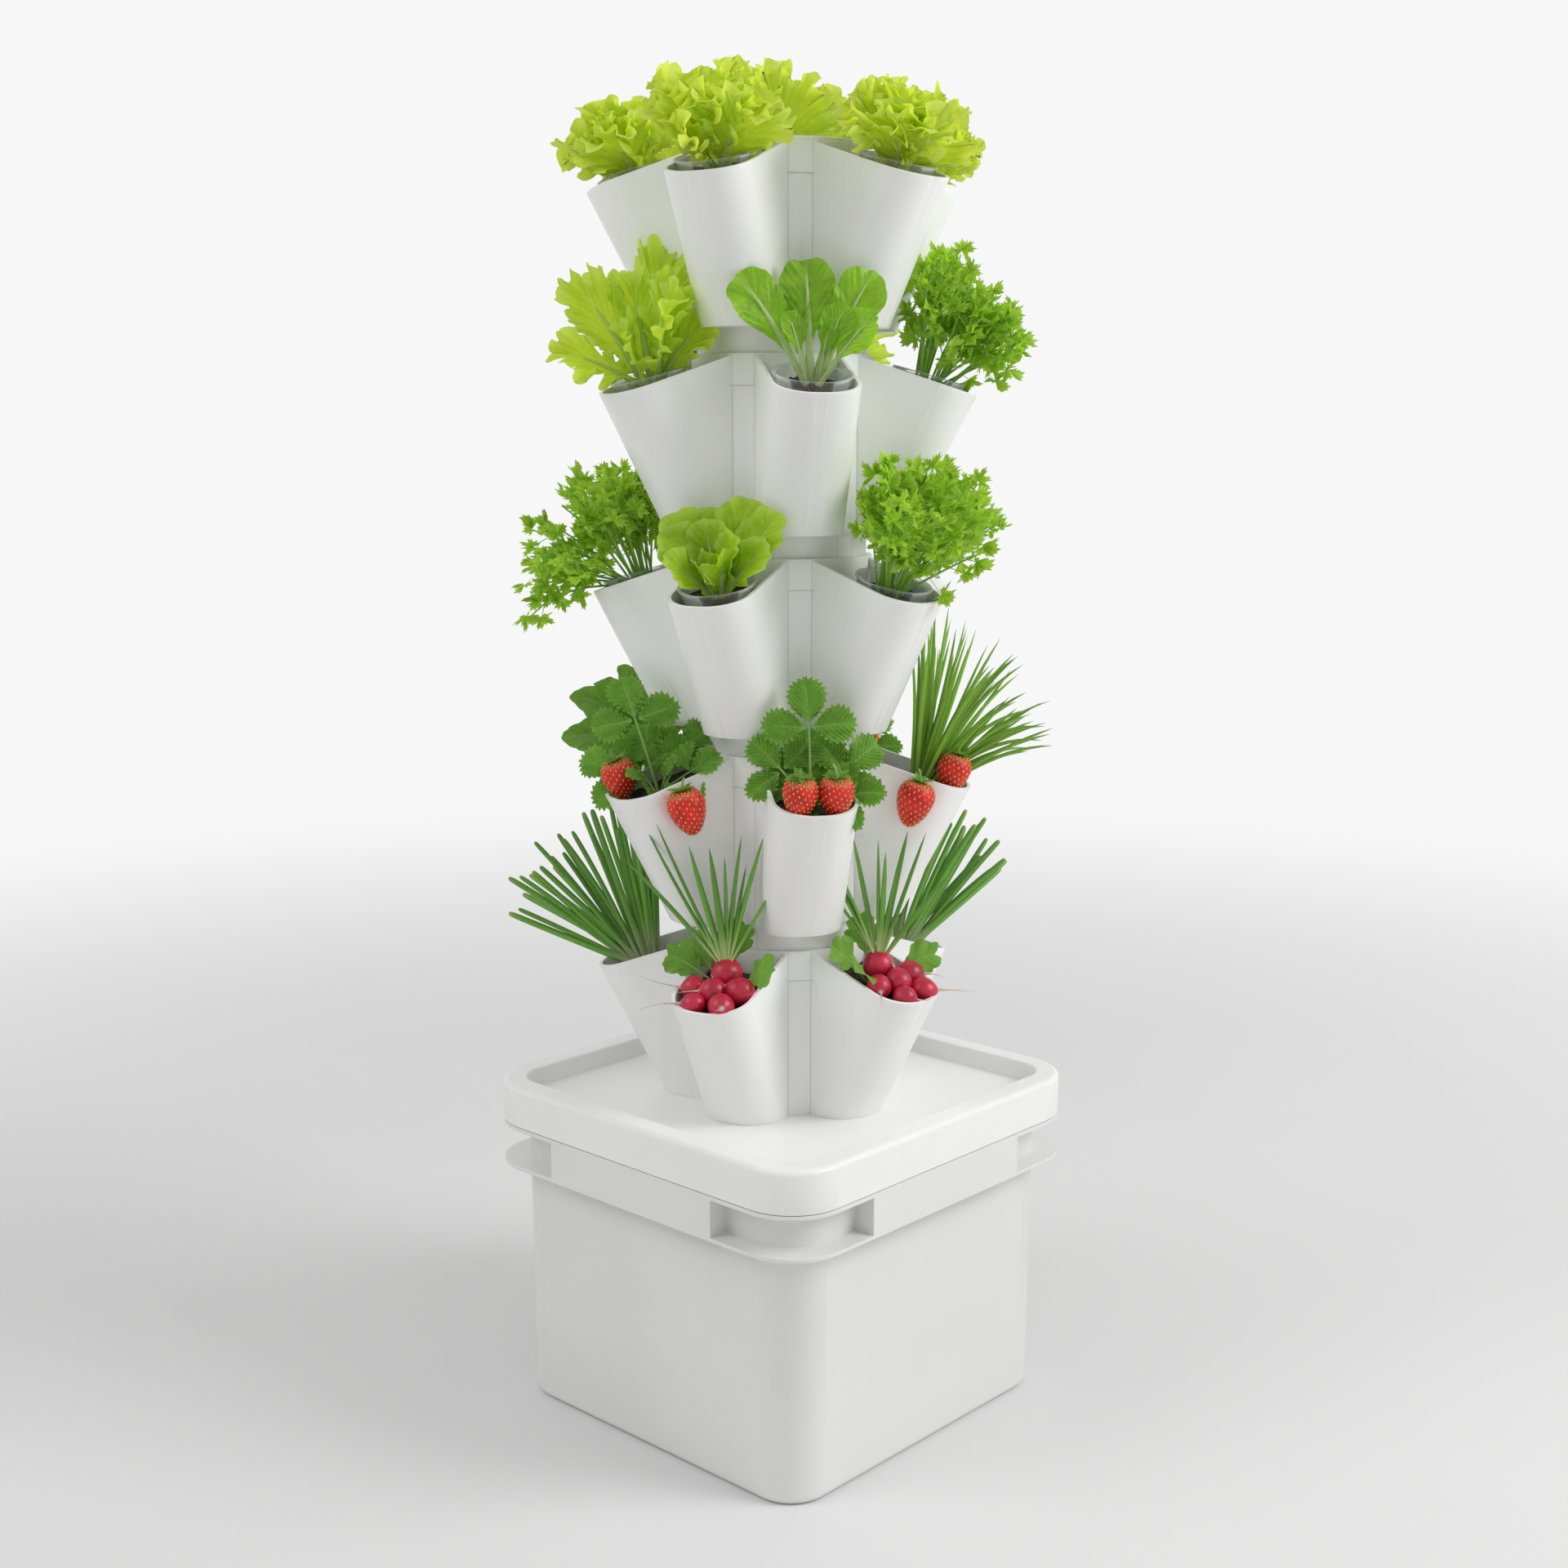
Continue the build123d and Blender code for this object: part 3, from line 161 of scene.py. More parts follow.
class Field:
    """A shader socket that takes part in Python expressions; each operator adds a Math node."""

    def __init__(self, finish, socket):
        self.finish = finish
        self.socket = socket

    def math(self, operation, *values):
        return self.finish.node("ShaderNodeMath", {"operation": operation}, dict(enumerate(values)))

    def __add__(self, other):
        return self.math("ADD", self, other)

    def __sub__(self, other):
        return self.math("SUBTRACT", self, other)

    def __rsub__(self, other):
        return self.math("SUBTRACT", other, self)

    def __mul__(self, other):
        return self.math("MULTIPLY", self, other)

    def __truediv__(self, other):
        return self.math("DIVIDE", self, other)

    def __pow__(self, other):
        return self.math("POWER", self, other)

    def __abs__(self):
        return self.math("ABSOLUTE", self)

    __radd__ = __add__
    __rmul__ = __mul__

    def fraction(self):
        return self.math("FRACT", self)

    def sine(self):
        return self.math("SINE", self)

    def ramp(self, low, high):
        """Rises smoothly from 0 at low to 1 at high; a low over the high gives a fall."""
        settings = {"interpolation_type": "SMOOTHSTEP"}
        return self.finish.node("ShaderNodeMapRange", settings, {"Value": self, 1: low, 2: high})


class Finish:
    """A material that is written as expressions on its nodes."""

    def __init__(self, name):
        self.material = bpy.data.materials.new(name)
        self.material.use_nodes = True
        self.tree = self.material.node_tree
        self.tree.nodes.clear()

    def node(self, kind, settings=None, sockets=None, out=0):
        """One node: its settings first, then the values or links of its sockets."""
        made = self.tree.nodes.new(kind)
        for name, value in (settings or {}).items():
            setattr(made, name, value)
        for name, value in (sockets or {}).items():
            if isinstance(value, Field):
                self.tree.links.new(value.socket, made.inputs[name])
            else:
                made.inputs[name].default_value = value
        return Field(self, made.outputs[out])

    def place(self):
        """The piece's own coordinates, which are the tower's at rest."""
        return self.node("ShaderNodeTexCoord", out="Object")

    def noise(self, scale, detail=3.0, roughness=0.5):
        sockets = {"Vector": self.place(), "Scale": scale, "Detail": detail, "Roughness": roughness}
        return self.node("ShaderNodeTexNoise", None, sockets)

    def blend(self, amount, low, high):
        """A colour between two."""
        low, high = (c if isinstance(c, Field) else (*c, 1.0) for c in (low, high))
        return self.node("ShaderNodeMix", {"data_type": "RGBA"}, {0: amount, 6: low, 7: high}, 2)

    def split(self, vector):
        """A vector's three parts."""
        made = self.node("ShaderNodeSeparateXYZ", None, {0: vector})
        return [Field(self, output) for output in made.socket.node.outputs]

    def leaf(self):
        """How far a point of a leaf is across it, along it and out to its edge."""
        return self.split(self.node("ShaderNodeAttribute", {"attribute_name": "leaf"}, None, "Vector"))

    def tone(self):
        """A number from 0 to 1 that differs from leaf to leaf."""
        return self.node("ShaderNodeAttribute", {"attribute_name": "tone"}, None, "Fac")

    def bump(self, height, distance, strength=1.0):
        sockets = {"Height": height, "Distance": distance, "Strength": strength}
        return self.node("ShaderNodeBump", None, sockets)

    def surface(self, shader):
        output = self.tree.nodes.new("ShaderNodeOutputMaterial")
        self.tree.links.new(shader.socket, output.inputs["Surface"])
        return self.material

    def principled(self, colour, roughness, normal=None, **constants):
        base = colour if isinstance(colour, Field) else (*colour, 1.0)
        sockets = {"Base Color": base, "Roughness": roughness}
        if normal is not None:
            sockets["Normal"] = normal
        for name, value in constants.items():
            sockets[name.replace("_", " ")] = value
        return self.node("ShaderNodeBsdfPrincipled", None, sockets)


def shade(colour, factor):
    """A colour made darker or lighter."""
    return tuple(min(1.0, channel * factor) for channel in colour)


def towards(colour, other, share):
    """A colour part of the way to another."""
    return tuple(a + (b - a) * share for a, b in zip(colour, other))


def seam_shade_lines(finish, sizes, first):
    """Painted shade lines on a tier's column: one round it under the socket, one up each pocket's corner.

    first is how far round the tier its first pocket stands.
    """
    x, y, z = finish.split(finish.place())
    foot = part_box("tier_5")[1].z - sizes.tier_height
    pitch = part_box("tier_4")[1].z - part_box("tier_5")[1].z
    height = ((z - foot) / pitch).fraction() * pitch
    ring = abs(height - sizes.tier_seat).ramp(0.0009, 0.0003)
    share = ((y.math("ARCTAN2", y, x) - first) * (1 / POCKET_STEP) + 0.5).fraction() - 0.5
    corner = math.asin(sizes.pocket_outside / 2 / sizes.column_outside) / POCKET_STEP
    upright = abs(abs(share) - corner).ramp(0.0090, 0.0030)
    on_column = ((x * x + y * y) ** 0.5).ramp(sizes.column_outside + 0.0026, sizes.column_outside + 0.0018)
    return ring.math("MAXIMUM", ring, upright * 0.7) * on_column


def moulded_plastic(name, colour, roughness=0.34, shade_lines=None):
    """Moulded plastic: a fine skin grain, faint flow clouds and a roughness that wanders.

    The last argument, as the sizes and the place of the first pocket, adds painted shade lines on a tier's
    column.
    """
    finish = Finish(name)
    clouds = finish.noise(9.0, 2.0)
    grain = finish.noise(1400.0, 2.0)
    body = finish.blend(clouds.ramp(0.3, 0.7), shade(colour, 0.965), colour)
    rough = roughness + (finish.noise(38.0, 4.0) - 0.5) * 0.10
    relief = grain * 0.6 + finish.noise(260.0, 2.0) * 0.4
    if shade_lines:
        # Painted shade: a dark line under each socket's step stands in for its shadow, and dark lines up the
        # pocket corners stand in for the shade there; the bump also cuts them in as fine grooves.
        seam_shade = seam_shade_lines(finish, *shade_lines)
        body = finish.blend(seam_shade * 0.36, body, shade(colour, 0.45))
        relief = relief - seam_shade * 2.0
    skin = finish.bump(relief, 0.00012, 0.28)
    return finish.surface(finish.principled(body, rough, skin, IOR=1.49))


def soft_rubber(name, colour):
    """Rubber: nearly matt, dusty in patches."""
    finish = Finish(name)
    dust = finish.noise(60.0, 4.0).ramp(0.45, 0.8)
    body = finish.blend(dust * 0.35, colour, shade(colour, 2.4))
    skin = finish.bump(finish.noise(900.0, 2.0), 0.00015, 0.35)
    return finish.surface(finish.principled(body, 0.62 + dust * 0.2, skin))


def turned_steel(name, colour):
    """Ground steel with fine rings round the shaft."""
    finish = Finish(name)
    rings = (finish.split(finish.place())[0] * 9000.0).sine() * 0.5 + 0.5
    rough = 0.22 + rings * 0.12 + (finish.noise(300.0) - 0.5) * 0.1
    skin = finish.bump(rings, 0.00004, 0.4)
    return finish.surface(finish.principled(colour, rough, skin, Metallic=1.0))


def clear_plastic(name, colour):
    """Thin clear plastic: see-through, with gloss that grows towards its edges."""
    finish = Finish(name)
    ripple = finish.bump(finish.noise(70.0, 2.0), 0.0006, 0.25)
    gloss = finish.node("ShaderNodeFresnel", None, {"IOR": 1.45, "Normal": ripple})
    smear = finish.noise(45.0, 3.0).ramp(0.5, 0.8)
    share = gloss * 0.75 + 0.05 + smear * 0.05
    clear = finish.node("ShaderNodeBsdfTransparent", None, {"Color": (*colour, 1.0)})
    skin = finish.principled((0.9, 0.92, 0.92), 0.06 + smear * 0.08, ripple, IOR=1.5)
    return finish.surface(finish.node("ShaderNodeMixShader", None, {0: share, 1: clear, 2: skin}))


def damp_soil(name, colour):
    """Damp growing medium: dark crumbs with pale fibres and wet glints."""
    finish = Finish(name)
    lumps = finish.noise(220.0, 5.0, roughness=0.65)
    fibres = finish.noise(520.0, 2.0).ramp(0.62, 0.72)
    body = finish.blend(lumps.ramp(0.35, 0.7), shade(colour, 0.45), shade(colour, 1.9))
    body = finish.blend(fibres * 0.5, body, (0.16, 0.105, 0.065))
    wet = finish.noise(90.0, 2.0).ramp(0.5, 0.7)
    skin = finish.bump(lumps + fibres * 0.3, 0.0016, 0.8)
    return finish.surface(finish.principled(body, 0.85 - wet * 0.3, skin))


def leaf_finish(
    name, colour, veins, stalk, pale_edge_highlight, vein_show, pucker, slant, gloss=0.42, deep=0.55, through=0.30
):
    """A leaf: clouds of light and deep green, a midrib and side veins, puckered between them.

    veins is the number of side veins, slant how steeply they run, pale_edge_highlight how light the rim gets
    (partly the leaf's paler edge, partly a painted highlight), deep how dark the deep green is and through
    how much light comes through.
    """
    finish = Finish(name)
    across, along, edge = finish.leaf()
    side = abs(across)
    tone = finish.tone()
    clouds = finish.noise(55.0, 4.0)
    mottle = finish.noise(260.0, 3.0).ramp(0.3, 0.7)
    light = clouds.ramp(0.3, 0.7) * 0.45 + tone * 0.3 + mottle * 0.25
    body = finish.blend(light, shade(colour, deep), colour)
    # The rim is made paler: partly the leaf's own paler edge, partly a painted highlight where the frills
    # catch the light.
    rim = edge.ramp(0.60, 1.0)
    body = finish.blend(rim * pale_edge_highlight, body, towards(colour, (0.84, 0.92, 0.36), 0.70))
    wander = (finish.noise(120.0, 2.0) - 0.5) * 0.30
    run = (along - side * slant * 0.5) * veins + wander
    line = abs(run.fraction() - 0.5).ramp(0.13, 0.0) * edge.ramp(1.0, 0.5)
    rib = side.ramp(0.10, 0.02) * along.ramp(1.05, 0.55)
    vein = line * 0.6 + rib
    on_blade = along.ramp(-0.02, 0.03)
    body = finish.blend(vein * on_blade * vein_show, body, towards(colour, stalk, 0.6))
    body = finish.blend(along.ramp(0.16, -0.04), body, stalk)
    fine = finish.noise(420.0, 3.0)
    swell = finish.noise(150.0, 2.0)
    height = swell * 0.7 + fine * 0.25 - vein * on_blade * 0.55
    skin = finish.bump(height, pucker, 0.75)
    front = finish.principled(body, gloss + (fine - 0.5) * 0.16, skin, Specular_IOR_Level=0.28)
    glow = finish.node("ShaderNodeBsdfTranslucent", None, {"Color": (*shade(colour, 1.25), 1.0)})
    return finish.surface(finish.node("ShaderNodeMixShader", None, {0: through, 1: front, 2: glow}))


def blade_finish(name, colour, stalk, pale_foot):
    """A round or flat blade: fine stripes along it, pale at the foot."""
    finish = Finish(name)
    across, along, _ = finish.leaf()
    tone = finish.tone()
    stripes = (across * 26.0).sine() * 0.5 + 0.5
    clouds = finish.noise(60.0, 3.0)
    light = stripes * 0.30 + clouds * 0.35 + tone * 0.45
    body = finish.blend(light, shade(colour, 0.40), shade(colour, 1.12))
    foot = along.ramp(pale_foot, 0.0)
    body = finish.blend(foot, body, stalk)
    tip = along.ramp(0.93, 1.0) * tone.ramp(0.5, 0.9)
    body = finish.blend(tip * 0.6, body, (0.42, 0.36, 0.10))
    skin = finish.bump(stripes + finish.noise(500.0) * 0.5, 0.0002, 0.5)
    return finish.surface(finish.principled(body, 0.36 + clouds * 0.14, skin))


def berry_skin(name, colour):
    """Ripe berry: red with a paler shoulder, glossy, finely pitted, with painted shade in the pits."""
    finish = Finish(name)
    _, along, edge = finish.leaf()
    clouds = finish.noise(130.0, 3.0)
    body = finish.blend(clouds.ramp(0.3, 0.7), shade(colour, 0.72), shade(colour, 1.15))
    body = finish.blend(along.ramp(0.12, 0.0) * 0.5, body, (0.76, 0.24, 0.10))
    # Painted shade: the pits, given by the third part of the leaf mark, are darkened as if shaded.
    body = finish.blend(edge.ramp(0.2, 1.0) * 0.6, body, shade(colour, 0.5))
    skin = finish.bump(finish.noise(700.0, 2.0), 0.0002, 0.4)
    flesh = {"Subsurface_Weight": 0.08, "Subsurface_Scale": 0.003, "Specular_IOR_Level": 0.36}
    return finish.surface(finish.principled(body, 0.34 + clouds * 0.10, skin, **flesh))


def seed_skin(name, colour):
    """A strawberry's seeds, straw yellow to brown."""
    finish = Finish(name)
    body = finish.blend(finish.noise(300.0, 2.0).ramp(0.35, 0.7), shade(colour, 0.6), colour)
    return finish.surface(finish.principled(body, 0.4 + finish.noise(900.0) * 0.1))


def radish_skin(name, colour, root):
    """A radish: deep pink to red, fine scars round it, white where the root starts."""
    finish = Finish(name)
    along = finish.leaf()[1]
    clouds = finish.noise(70.0, 4.0)
    body = finish.blend(clouds.ramp(0.3, 0.72), shade(colour, 0.70), shade(colour, 1.2))
    scars = finish.noise(240.0, 2.0).ramp(0.66, 0.74)
    body = finish.blend(scars * 0.35, body, (0.62, 0.16, 0.16))
    body = finish.blend(along.ramp(0.90, 1.02), body, root)
    skin = finish.bump(finish.noise(160.0, 3.0) - scars * 0.3, 0.0005, 0.35)
    flesh = {"Subsurface_Weight": 0.06, "Subsurface_Scale": 0.003}
    return finish.surface(finish.principled(body, 0.26 + clouds * 0.12, skin, **flesh))


def root_skin(name, colour):
    """Pale root tails and stalks with soil stains."""
    finish = Finish(name)
    stains = finish.noise(210.0, 3.0).ramp(0.45, 0.75)
    body = finish.blend(stains * 0.6, colour, shade(colour, 0.45))
    return finish.surface(finish.principled(body, 0.55 + stains * 0.2))


def pots_in(tiers):
    """The pots of some tiers, as 1a for the first pocket of the top tier."""
    return [f"{tier}{pocket}" for tier in tiers for pocket in POCKETS]


def pot_turn(pot):
    """How far round the tower a pot stands; every other tier is turned by half a pocket."""
    start = 0.0 if int(pot[0]) % 2 else 0.5
    return (start + POCKETS.index(pot[1])) * POCKET_STEP


def pot_front(stage, pot):
    """How far round a pot the camera stands, from the way the pot leans."""
    return (stage.azimuth + math.pi / 2 - pot_turn(pot)) % FULL_TURN - math.pi


def pot_random(seed, pot, step=0):
    """A random source of a pot's own; step is how far apart the tiers' seeds are."""
    return np.random.default_rng(seed + step * int(pot[0]) + POCKETS.index(pot[1]))


def pot_frame(sizes, pot):
    """Where a pot stands: its origin is the middle of its lip, its Z leans out along its axis."""
    turn = pot_turn(pot)
    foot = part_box(f"tier_{pot[0]}")[1].z - sizes.tier_height
    lip = Matrix.Translation((sizes.pot_reach, 0, sizes.tier_height - sizes.pot_drop))
    lean = Matrix.Rotation(sizes.pot_tilt, 4, "Y")
    return Matrix.Translation((0, 0, foot)) @ Matrix.Rotation(turn, 4, "Z") @ lip @ lean


def soil_frame(sizes, pot):
    """A pot's frame, moved down to the top of its soil."""
    depth = sizes.cup_soil if int(pot[0]) in CUP_TIERS else sizes.bed_soil
    return pot_frame(sizes, pot) @ Matrix.Translation((0, 0, -depth))


def pots_of(species):
    """The pots that hold one species, as (pot, node)."""
    found = []
    for body, nodes in BODIES.items():
        if body.startswith("pot_") and nodes[0].startswith(species + "_pot_"):
            found.append((body[4:], nodes[0]))
    return found


class Growth:
    """Gathers leaves, stalks and lumps in one pot's frame and makes them one piece."""

    def __init__(self):
        self.points = []
        self.faces = []
        self.leaf = []
        self.tone = []
        self.slots = []
        self.total = 0

    def add(self, points, faces, leaf, tone=0.5, slot=0):
        points = np.asarray(points, float).reshape(-1, 3)
        self.points.append(points)
        self.leaf.append(np.asarray(leaf, float).reshape(-1, 3))
        self.tone.append(np.full(len(points), tone))
        self.faces.append(np.asarray(faces) + self.total)
        self.slots.append(np.full(len(faces), slot))
        self.total += len(points)

    def join(self, part, shift, turned=np.eye(3)):
        """Takes over another growth, turned and moved."""
        self.points += [points @ turned.T + np.array(shift) for points in part.points]
        self.faces += [faces + self.total for faces in part.faces]
        self.leaf += part.leaf
        self.tone += part.tone
        self.slots += part.slots
        self.total += part.total

    def piece(self, name, body, place, materials):
        """The finished mesh, smooth, with its points in the tower's frame."""
        mesh = bpy.data.meshes.new(name)
        points = np.vstack(self.points) @ np.array(place.to_3x3()).T + np.array(place.translation)
        faces = np.vstack(self.faces)
        mesh.from_pydata(points.tolist(), [], faces.tolist())
        leaf_marks = mesh.attributes.new("leaf", "FLOAT_VECTOR", "POINT").data
        leaf_marks.foreach_set("vector", np.vstack(self.leaf).ravel())
        mesh.attributes.new("tone", "FLOAT", "POINT").data.foreach_set("value", np.concatenate(self.tone))
        mesh.polygons.foreach_set("material_index", np.concatenate(self.slots).astype(np.int32))
        shape = bmesh.new()
        shape.from_mesh(mesh)
        bmesh.ops.remove_doubles(shape, verts=shape.verts, dist=2 * HAIR)
        bmesh.ops.dissolve_degenerate(shape, edges=shape.edges, dist=HAIR)
        for face in shape.faces:
            face.smooth = True
        shape.to_mesh(mesh)
        shape.free()
        for material in materials:
            mesh.materials.append(material)
        made = bpy.data.objects.new(name, mesh)
        bpy.context.scene.collection.objects.link(made)
        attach(made, body)
        return made


def lattice(rows, columns, closed=False):
    """Four-sided faces of a grid of points, row after row; a closed grid joins each row's ends."""
    across = columns if closed else columns - 1
    row, column = np.meshgrid(np.arange(rows - 1) * columns, np.arange(across), indexing="ij")
    after = (column + 1) % columns
    corners = [row + column, row + after, row + columns + after, row + columns + column]
    return np.stack(corners, axis=-1).reshape(-1, 4)


def circle(sides):
    """Even turns round a circle, the last one short of the first."""
    return np.linspace(0, FULL_TURN, sides, endpoint=False)


def spun(profile, sides):
    """Points of a form turned about Z, from (radius, height) pairs, row after row."""
    profile = np.asarray(profile, float)
    turns = circle(sides)
    x = profile[:, :1] * np.cos(turns)
    y = profile[:, :1] * np.sin(turns)
    z = np.repeat(profile[:, 1:], sides, axis=1)
    return np.column_stack([x.ravel(), y.ravel(), z.ravel()])


def smooth_line(knots, count):
    """Evenly spaced points on a smooth line through the knots."""
    knots = np.asarray(knots, float)
    ends = np.vstack([2 * knots[0] - knots[1], knots, 2 * knots[-1] - knots[-2]])
    t = np.linspace(0, 1, 12, endpoint=False)[:, None]
    runs = []
    for a, b, c, d in zip(ends, ends[1:], ends[2:], ends[3:]):
        cubic = 3 * b - a - 3 * c + d
        runs.append(0.5 * (2 * b + (c - a) * t + (2 * a - 5 * b + 4 * c - d) * t**2 + cubic * t**3))
    line = np.vstack([*runs, knots[-1:]])
    steps = np.r_[0, np.cumsum(np.linalg.norm(np.diff(line, axis=0), axis=1))]
    even = np.linspace(0, steps[-1], count)
    return np.column_stack([np.interp(even, steps, line[:, k]) for k in range(knots.shape[1])])


def waves(rng, arc, parts, bulge=False):
    """Waves along a leaf's edge that drift in and out of step; each part is (wave length, height).

    Gives the height of the waves and how far a fold swings along the edge. Bulges are round, their notches
    sharp.
    """
    total = np.zeros_like(arc)
    slide = np.zeros_like(arc)
    for length, height in parts:
        start, wander, swell = rng.uniform(0, FULL_TURN, 3)
        drift = 1.1 * np.sin(FULL_TURN * arc / (3.3 * length) + wander)
        rise = height * (0.75 + 0.25 * np.sin(FULL_TURN * arc / (2.1 * length) + swell))
        phase = FULL_TURN * arc / length + start + drift
        total += rise * (1.6 * np.abs(np.sin(phase / 2)) - 1 if bulge else np.sin(phase))
        slide -= rise * np.sin(2 * phase)
    return total, slide


class Spine:
    """The line that a leaf or blade grows along: it leans out, bends as it rises and may twist."""

    END = 1.15
    STEPS = 70

    def __init__(self, length, lean, droop=0.0, power=1.6, sway=0.0, twist=0.0):
        self.length = length
        self.steps = np.linspace(0, self.END, self.STEPS)
        self.tilt = lean + droop * self.steps**power
        self.twist = twist * np.clip(3 * self.steps, 0, 1)
        step = length * (self.steps[1] - self.steps[0])
        middle = (self.tilt[1:] + self.tilt[:-1]) / 2
        self.out = np.r_[0, np.cumsum(np.sin(middle))] * step
        self.rise = np.r_[0, np.cumsum(np.cos(middle))] * step
        self.aside = sway * length * self.steps**2

    def place(self, across, along, lift, azimuth, root):
        """Points across, along and above the leaf, in the pot's frame."""
        along = np.clip(along, 0, self.END)
        tilt = np.interp(along, self.steps, self.tilt)
        twist = np.interp(along, self.steps, self.twist)
        side = across * np.cos(twist) - lift * np.sin(twist) + np.interp(along, self.steps, self.aside)
        over = across * np.sin(twist) + lift * np.cos(twist)
        out = root + np.interp(along, self.steps, self.out) - over * np.cos(tilt)
        rise = np.interp(along, self.steps, self.rise) + over * np.sin(tilt)
        x = out * np.cos(azimuth) - side * np.sin(azimuth)
        y = out * np.sin(azimuth) + side * np.cos(azimuth)
        return np.column_stack([x, y, rise])


BEHIND = 1.9
GOLDEN_ANGLE = math.radians(137.5)


def facing(azimuth, front):
    """The twist that turns a leaf's upper face to the front; one that leans there keeps its back to it.

    Pots behind the column, more than BEHIND round from the front, face the other way.
    """
    behind = math.pi if abs(front) > BEHIND else 0.0
    turn = (FULL_TURN - azimuth + front + behind) % FULL_TURN - math.pi
    most = 1.2
    return most * turn * (1 - abs(turn) / math.pi)


STALK_MARK = (0.0, -0.05, 0.0)


def tube(spine, azimuth, root, radii, end=1.0, sides=6, flat=1.0, blunt=1.0):
    """A stalk or blade along a spine, as points, faces and leaf marks; blunt draws its rows to its tip."""
    stations = end * (1 - (1 - np.linspace(0, 1, len(radii))) ** blunt)
    turns = circle(sides)
    radii = np.asarray(radii, float)[:, None]
    across = radii * np.cos(turns)
    lift = flat * radii * np.sin(turns)
    along = np.repeat(stations, sides)
    points = spine.place(across.ravel(), along, lift.ravel(), azimuth, root)
    marks = np.column_stack([np.tile(np.cos(turns), len(stations)), along, np.zeros(len(along))])
    return points, lattice(len(stations), sides, True), marks


def leaf(
    grown, rng, spine, azimuth, root, outline, length, width, start, rings=8, count=44, frill=(), lobes=(),
    teeth=None, cup=0.0, fold=0.0, curl=0.0, tip=0.0, turn=0.0, share=0.7, pleat=None, swell=2.2, meander=0.0,
    slot=0, tone=None, lift=0.0, neck=0.0
):
    """One leaf blade on a spine, from the spine's start to its end.

    outline lists (along, half width) as shares of length and width. The blade's rows run from the midrib to
    the edge all round, so frills, lobes and teeth follow the edge over the tip. meander swings the frills to
    and fro along the edge, so that they fold over, and swell keeps them to the edge. turn sets a leaflet
    aside of the spine, in the leaf's own plane, and neck how far from the spine it starts.
    """
    half = smooth_line(outline, count)
    edge = np.vstack([half * (1, -1), half[-2::-1]])
    along, across = edge[:, 0] * length, edge[:, 1] * width
    arc = np.r_[0, np.cumsum(np.hypot(np.diff(along), np.diff(across)))]
    foot = np.minimum(arc, arc[-1] - arc) / arc[-1]
    fade = np.clip(foot * 7, 0, 1)
    grow = 1 + waves(rng, arc, lobes, bulge=True)[0] * fade
    if teeth:
        pitch, height = teeth
        saw = (np.minimum(arc, arc[-1] - arc) / pitch) % 1.0
        grow = grow + height * (1 - saw) * fade
    middle = np.array([0.5 * length, 0.0])
    outward = np.column_stack([along, across]) - middle
    rim = middle + outward * grow[:, None]
    tangent = np.gradient(np.column_stack([along, across]), arc, axis=0)
    ruffle, slide = waves(rng, arc, frill)
    out = np.linspace(0, 1, rings)[None, :] ** 0.8
    swing = meander * (slide * fade)[:, None] * out**swell
    start_along = np.clip(share * edge[:, 0], 0, 1) * length
    grid_along = start_along[:, None] * (1 - out) + rim[:, :1] * out + swing * tangent[:, :1]
    grid_across = rim[:, 1:] * out + swing * tangent[:, 1:]
    rise = lift + out**swell * (ruffle * fade)[:, None]
    reach = np.abs(grid_across) / max(width / 2, 1e-6)
    rise = rise + cup * grid_across**2 / width + fold * np.abs(grid_across) - curl * width * out**4
    rise = rise - tip * length * (grid_along / length) ** 3
    if pleat:
        number, height = pleat
        ridge = np.abs(((grid_along / length - 0.45 * reach) * number) % 1.0 - 0.5)
        rise = rise + height * (0.5 - ridge) * np.minimum(reach * 3, 1)
    flat_across = grid_across * math.cos(turn) + (grid_along + neck) * math.sin(turn)
    flat_along = (grid_along + neck) * math.cos(turn) - grid_across * math.sin(turn)
    place_along = start + flat_along.ravel() / spine.length
    points = spine.place(flat_across.ravel(), place_along, rise.ravel(), azimuth, root)
    marks = np.column_stack([
        np.sign(grid_across).ravel() * np.minimum(reach.ravel(), 1.2),
        np.maximum(grid_along.ravel() / length, 0.0),
        np.repeat(out, len(edge), axis=0).ravel(),
    ])
    tone = rng.uniform() if tone is None else tone
    grown.add(points, lattice(len(edge), rings), marks, tone, slot)


def stalk(grown, spine, azimuth, root, radii, end, sides=7, flat=0.7, slot=0):
    """A stalk under a leaf, marked so that its finish stays pale."""
    points, faces, marks = tube(spine, azimuth, root, radii, end, sides, flat)
    marks[:, 1] = STALK_MARK[1]
    grown.add(points, faces, marks, 0.5, slot)


FAN = ((0, 0.05), (0.12, 0.10), (0.32, 0.26), (0.52, 0.44), (0.72, 0.54), (0.90, 0.44), (1.0, 0.0))
OBOVATE = ((0, 0.05), (0.12, 0.09), (0.32, 0.22), (0.55, 0.40), (0.75, 0.50), (0.92, 0.38), (1.0, 0.0))
SPOON = ((0, 0.03), (0.10, 0.10), (0.28, 0.30), (0.52, 0.47), (0.76, 0.46), (0.94, 0.26), (1.0, 0.0))
PADDLE = ((0, 0.05), (0.15, 0.12), (0.35, 0.30), (0.58, 0.47), (0.78, 0.49), (0.94, 0.30), (1.0, 0.0))
OVATE = ((0, 0.03), (0.10, 0.26), (0.30, 0.48), (0.55, 0.46), (0.78, 0.29), (0.94, 0.10), (1.0, 0.0))
LEAFLET = ((0, 0.03), (0.12, 0.13), (0.34, 0.36), (0.58, 0.49), (0.80, 0.42), (0.94, 0.22), (1.0, 0.0))
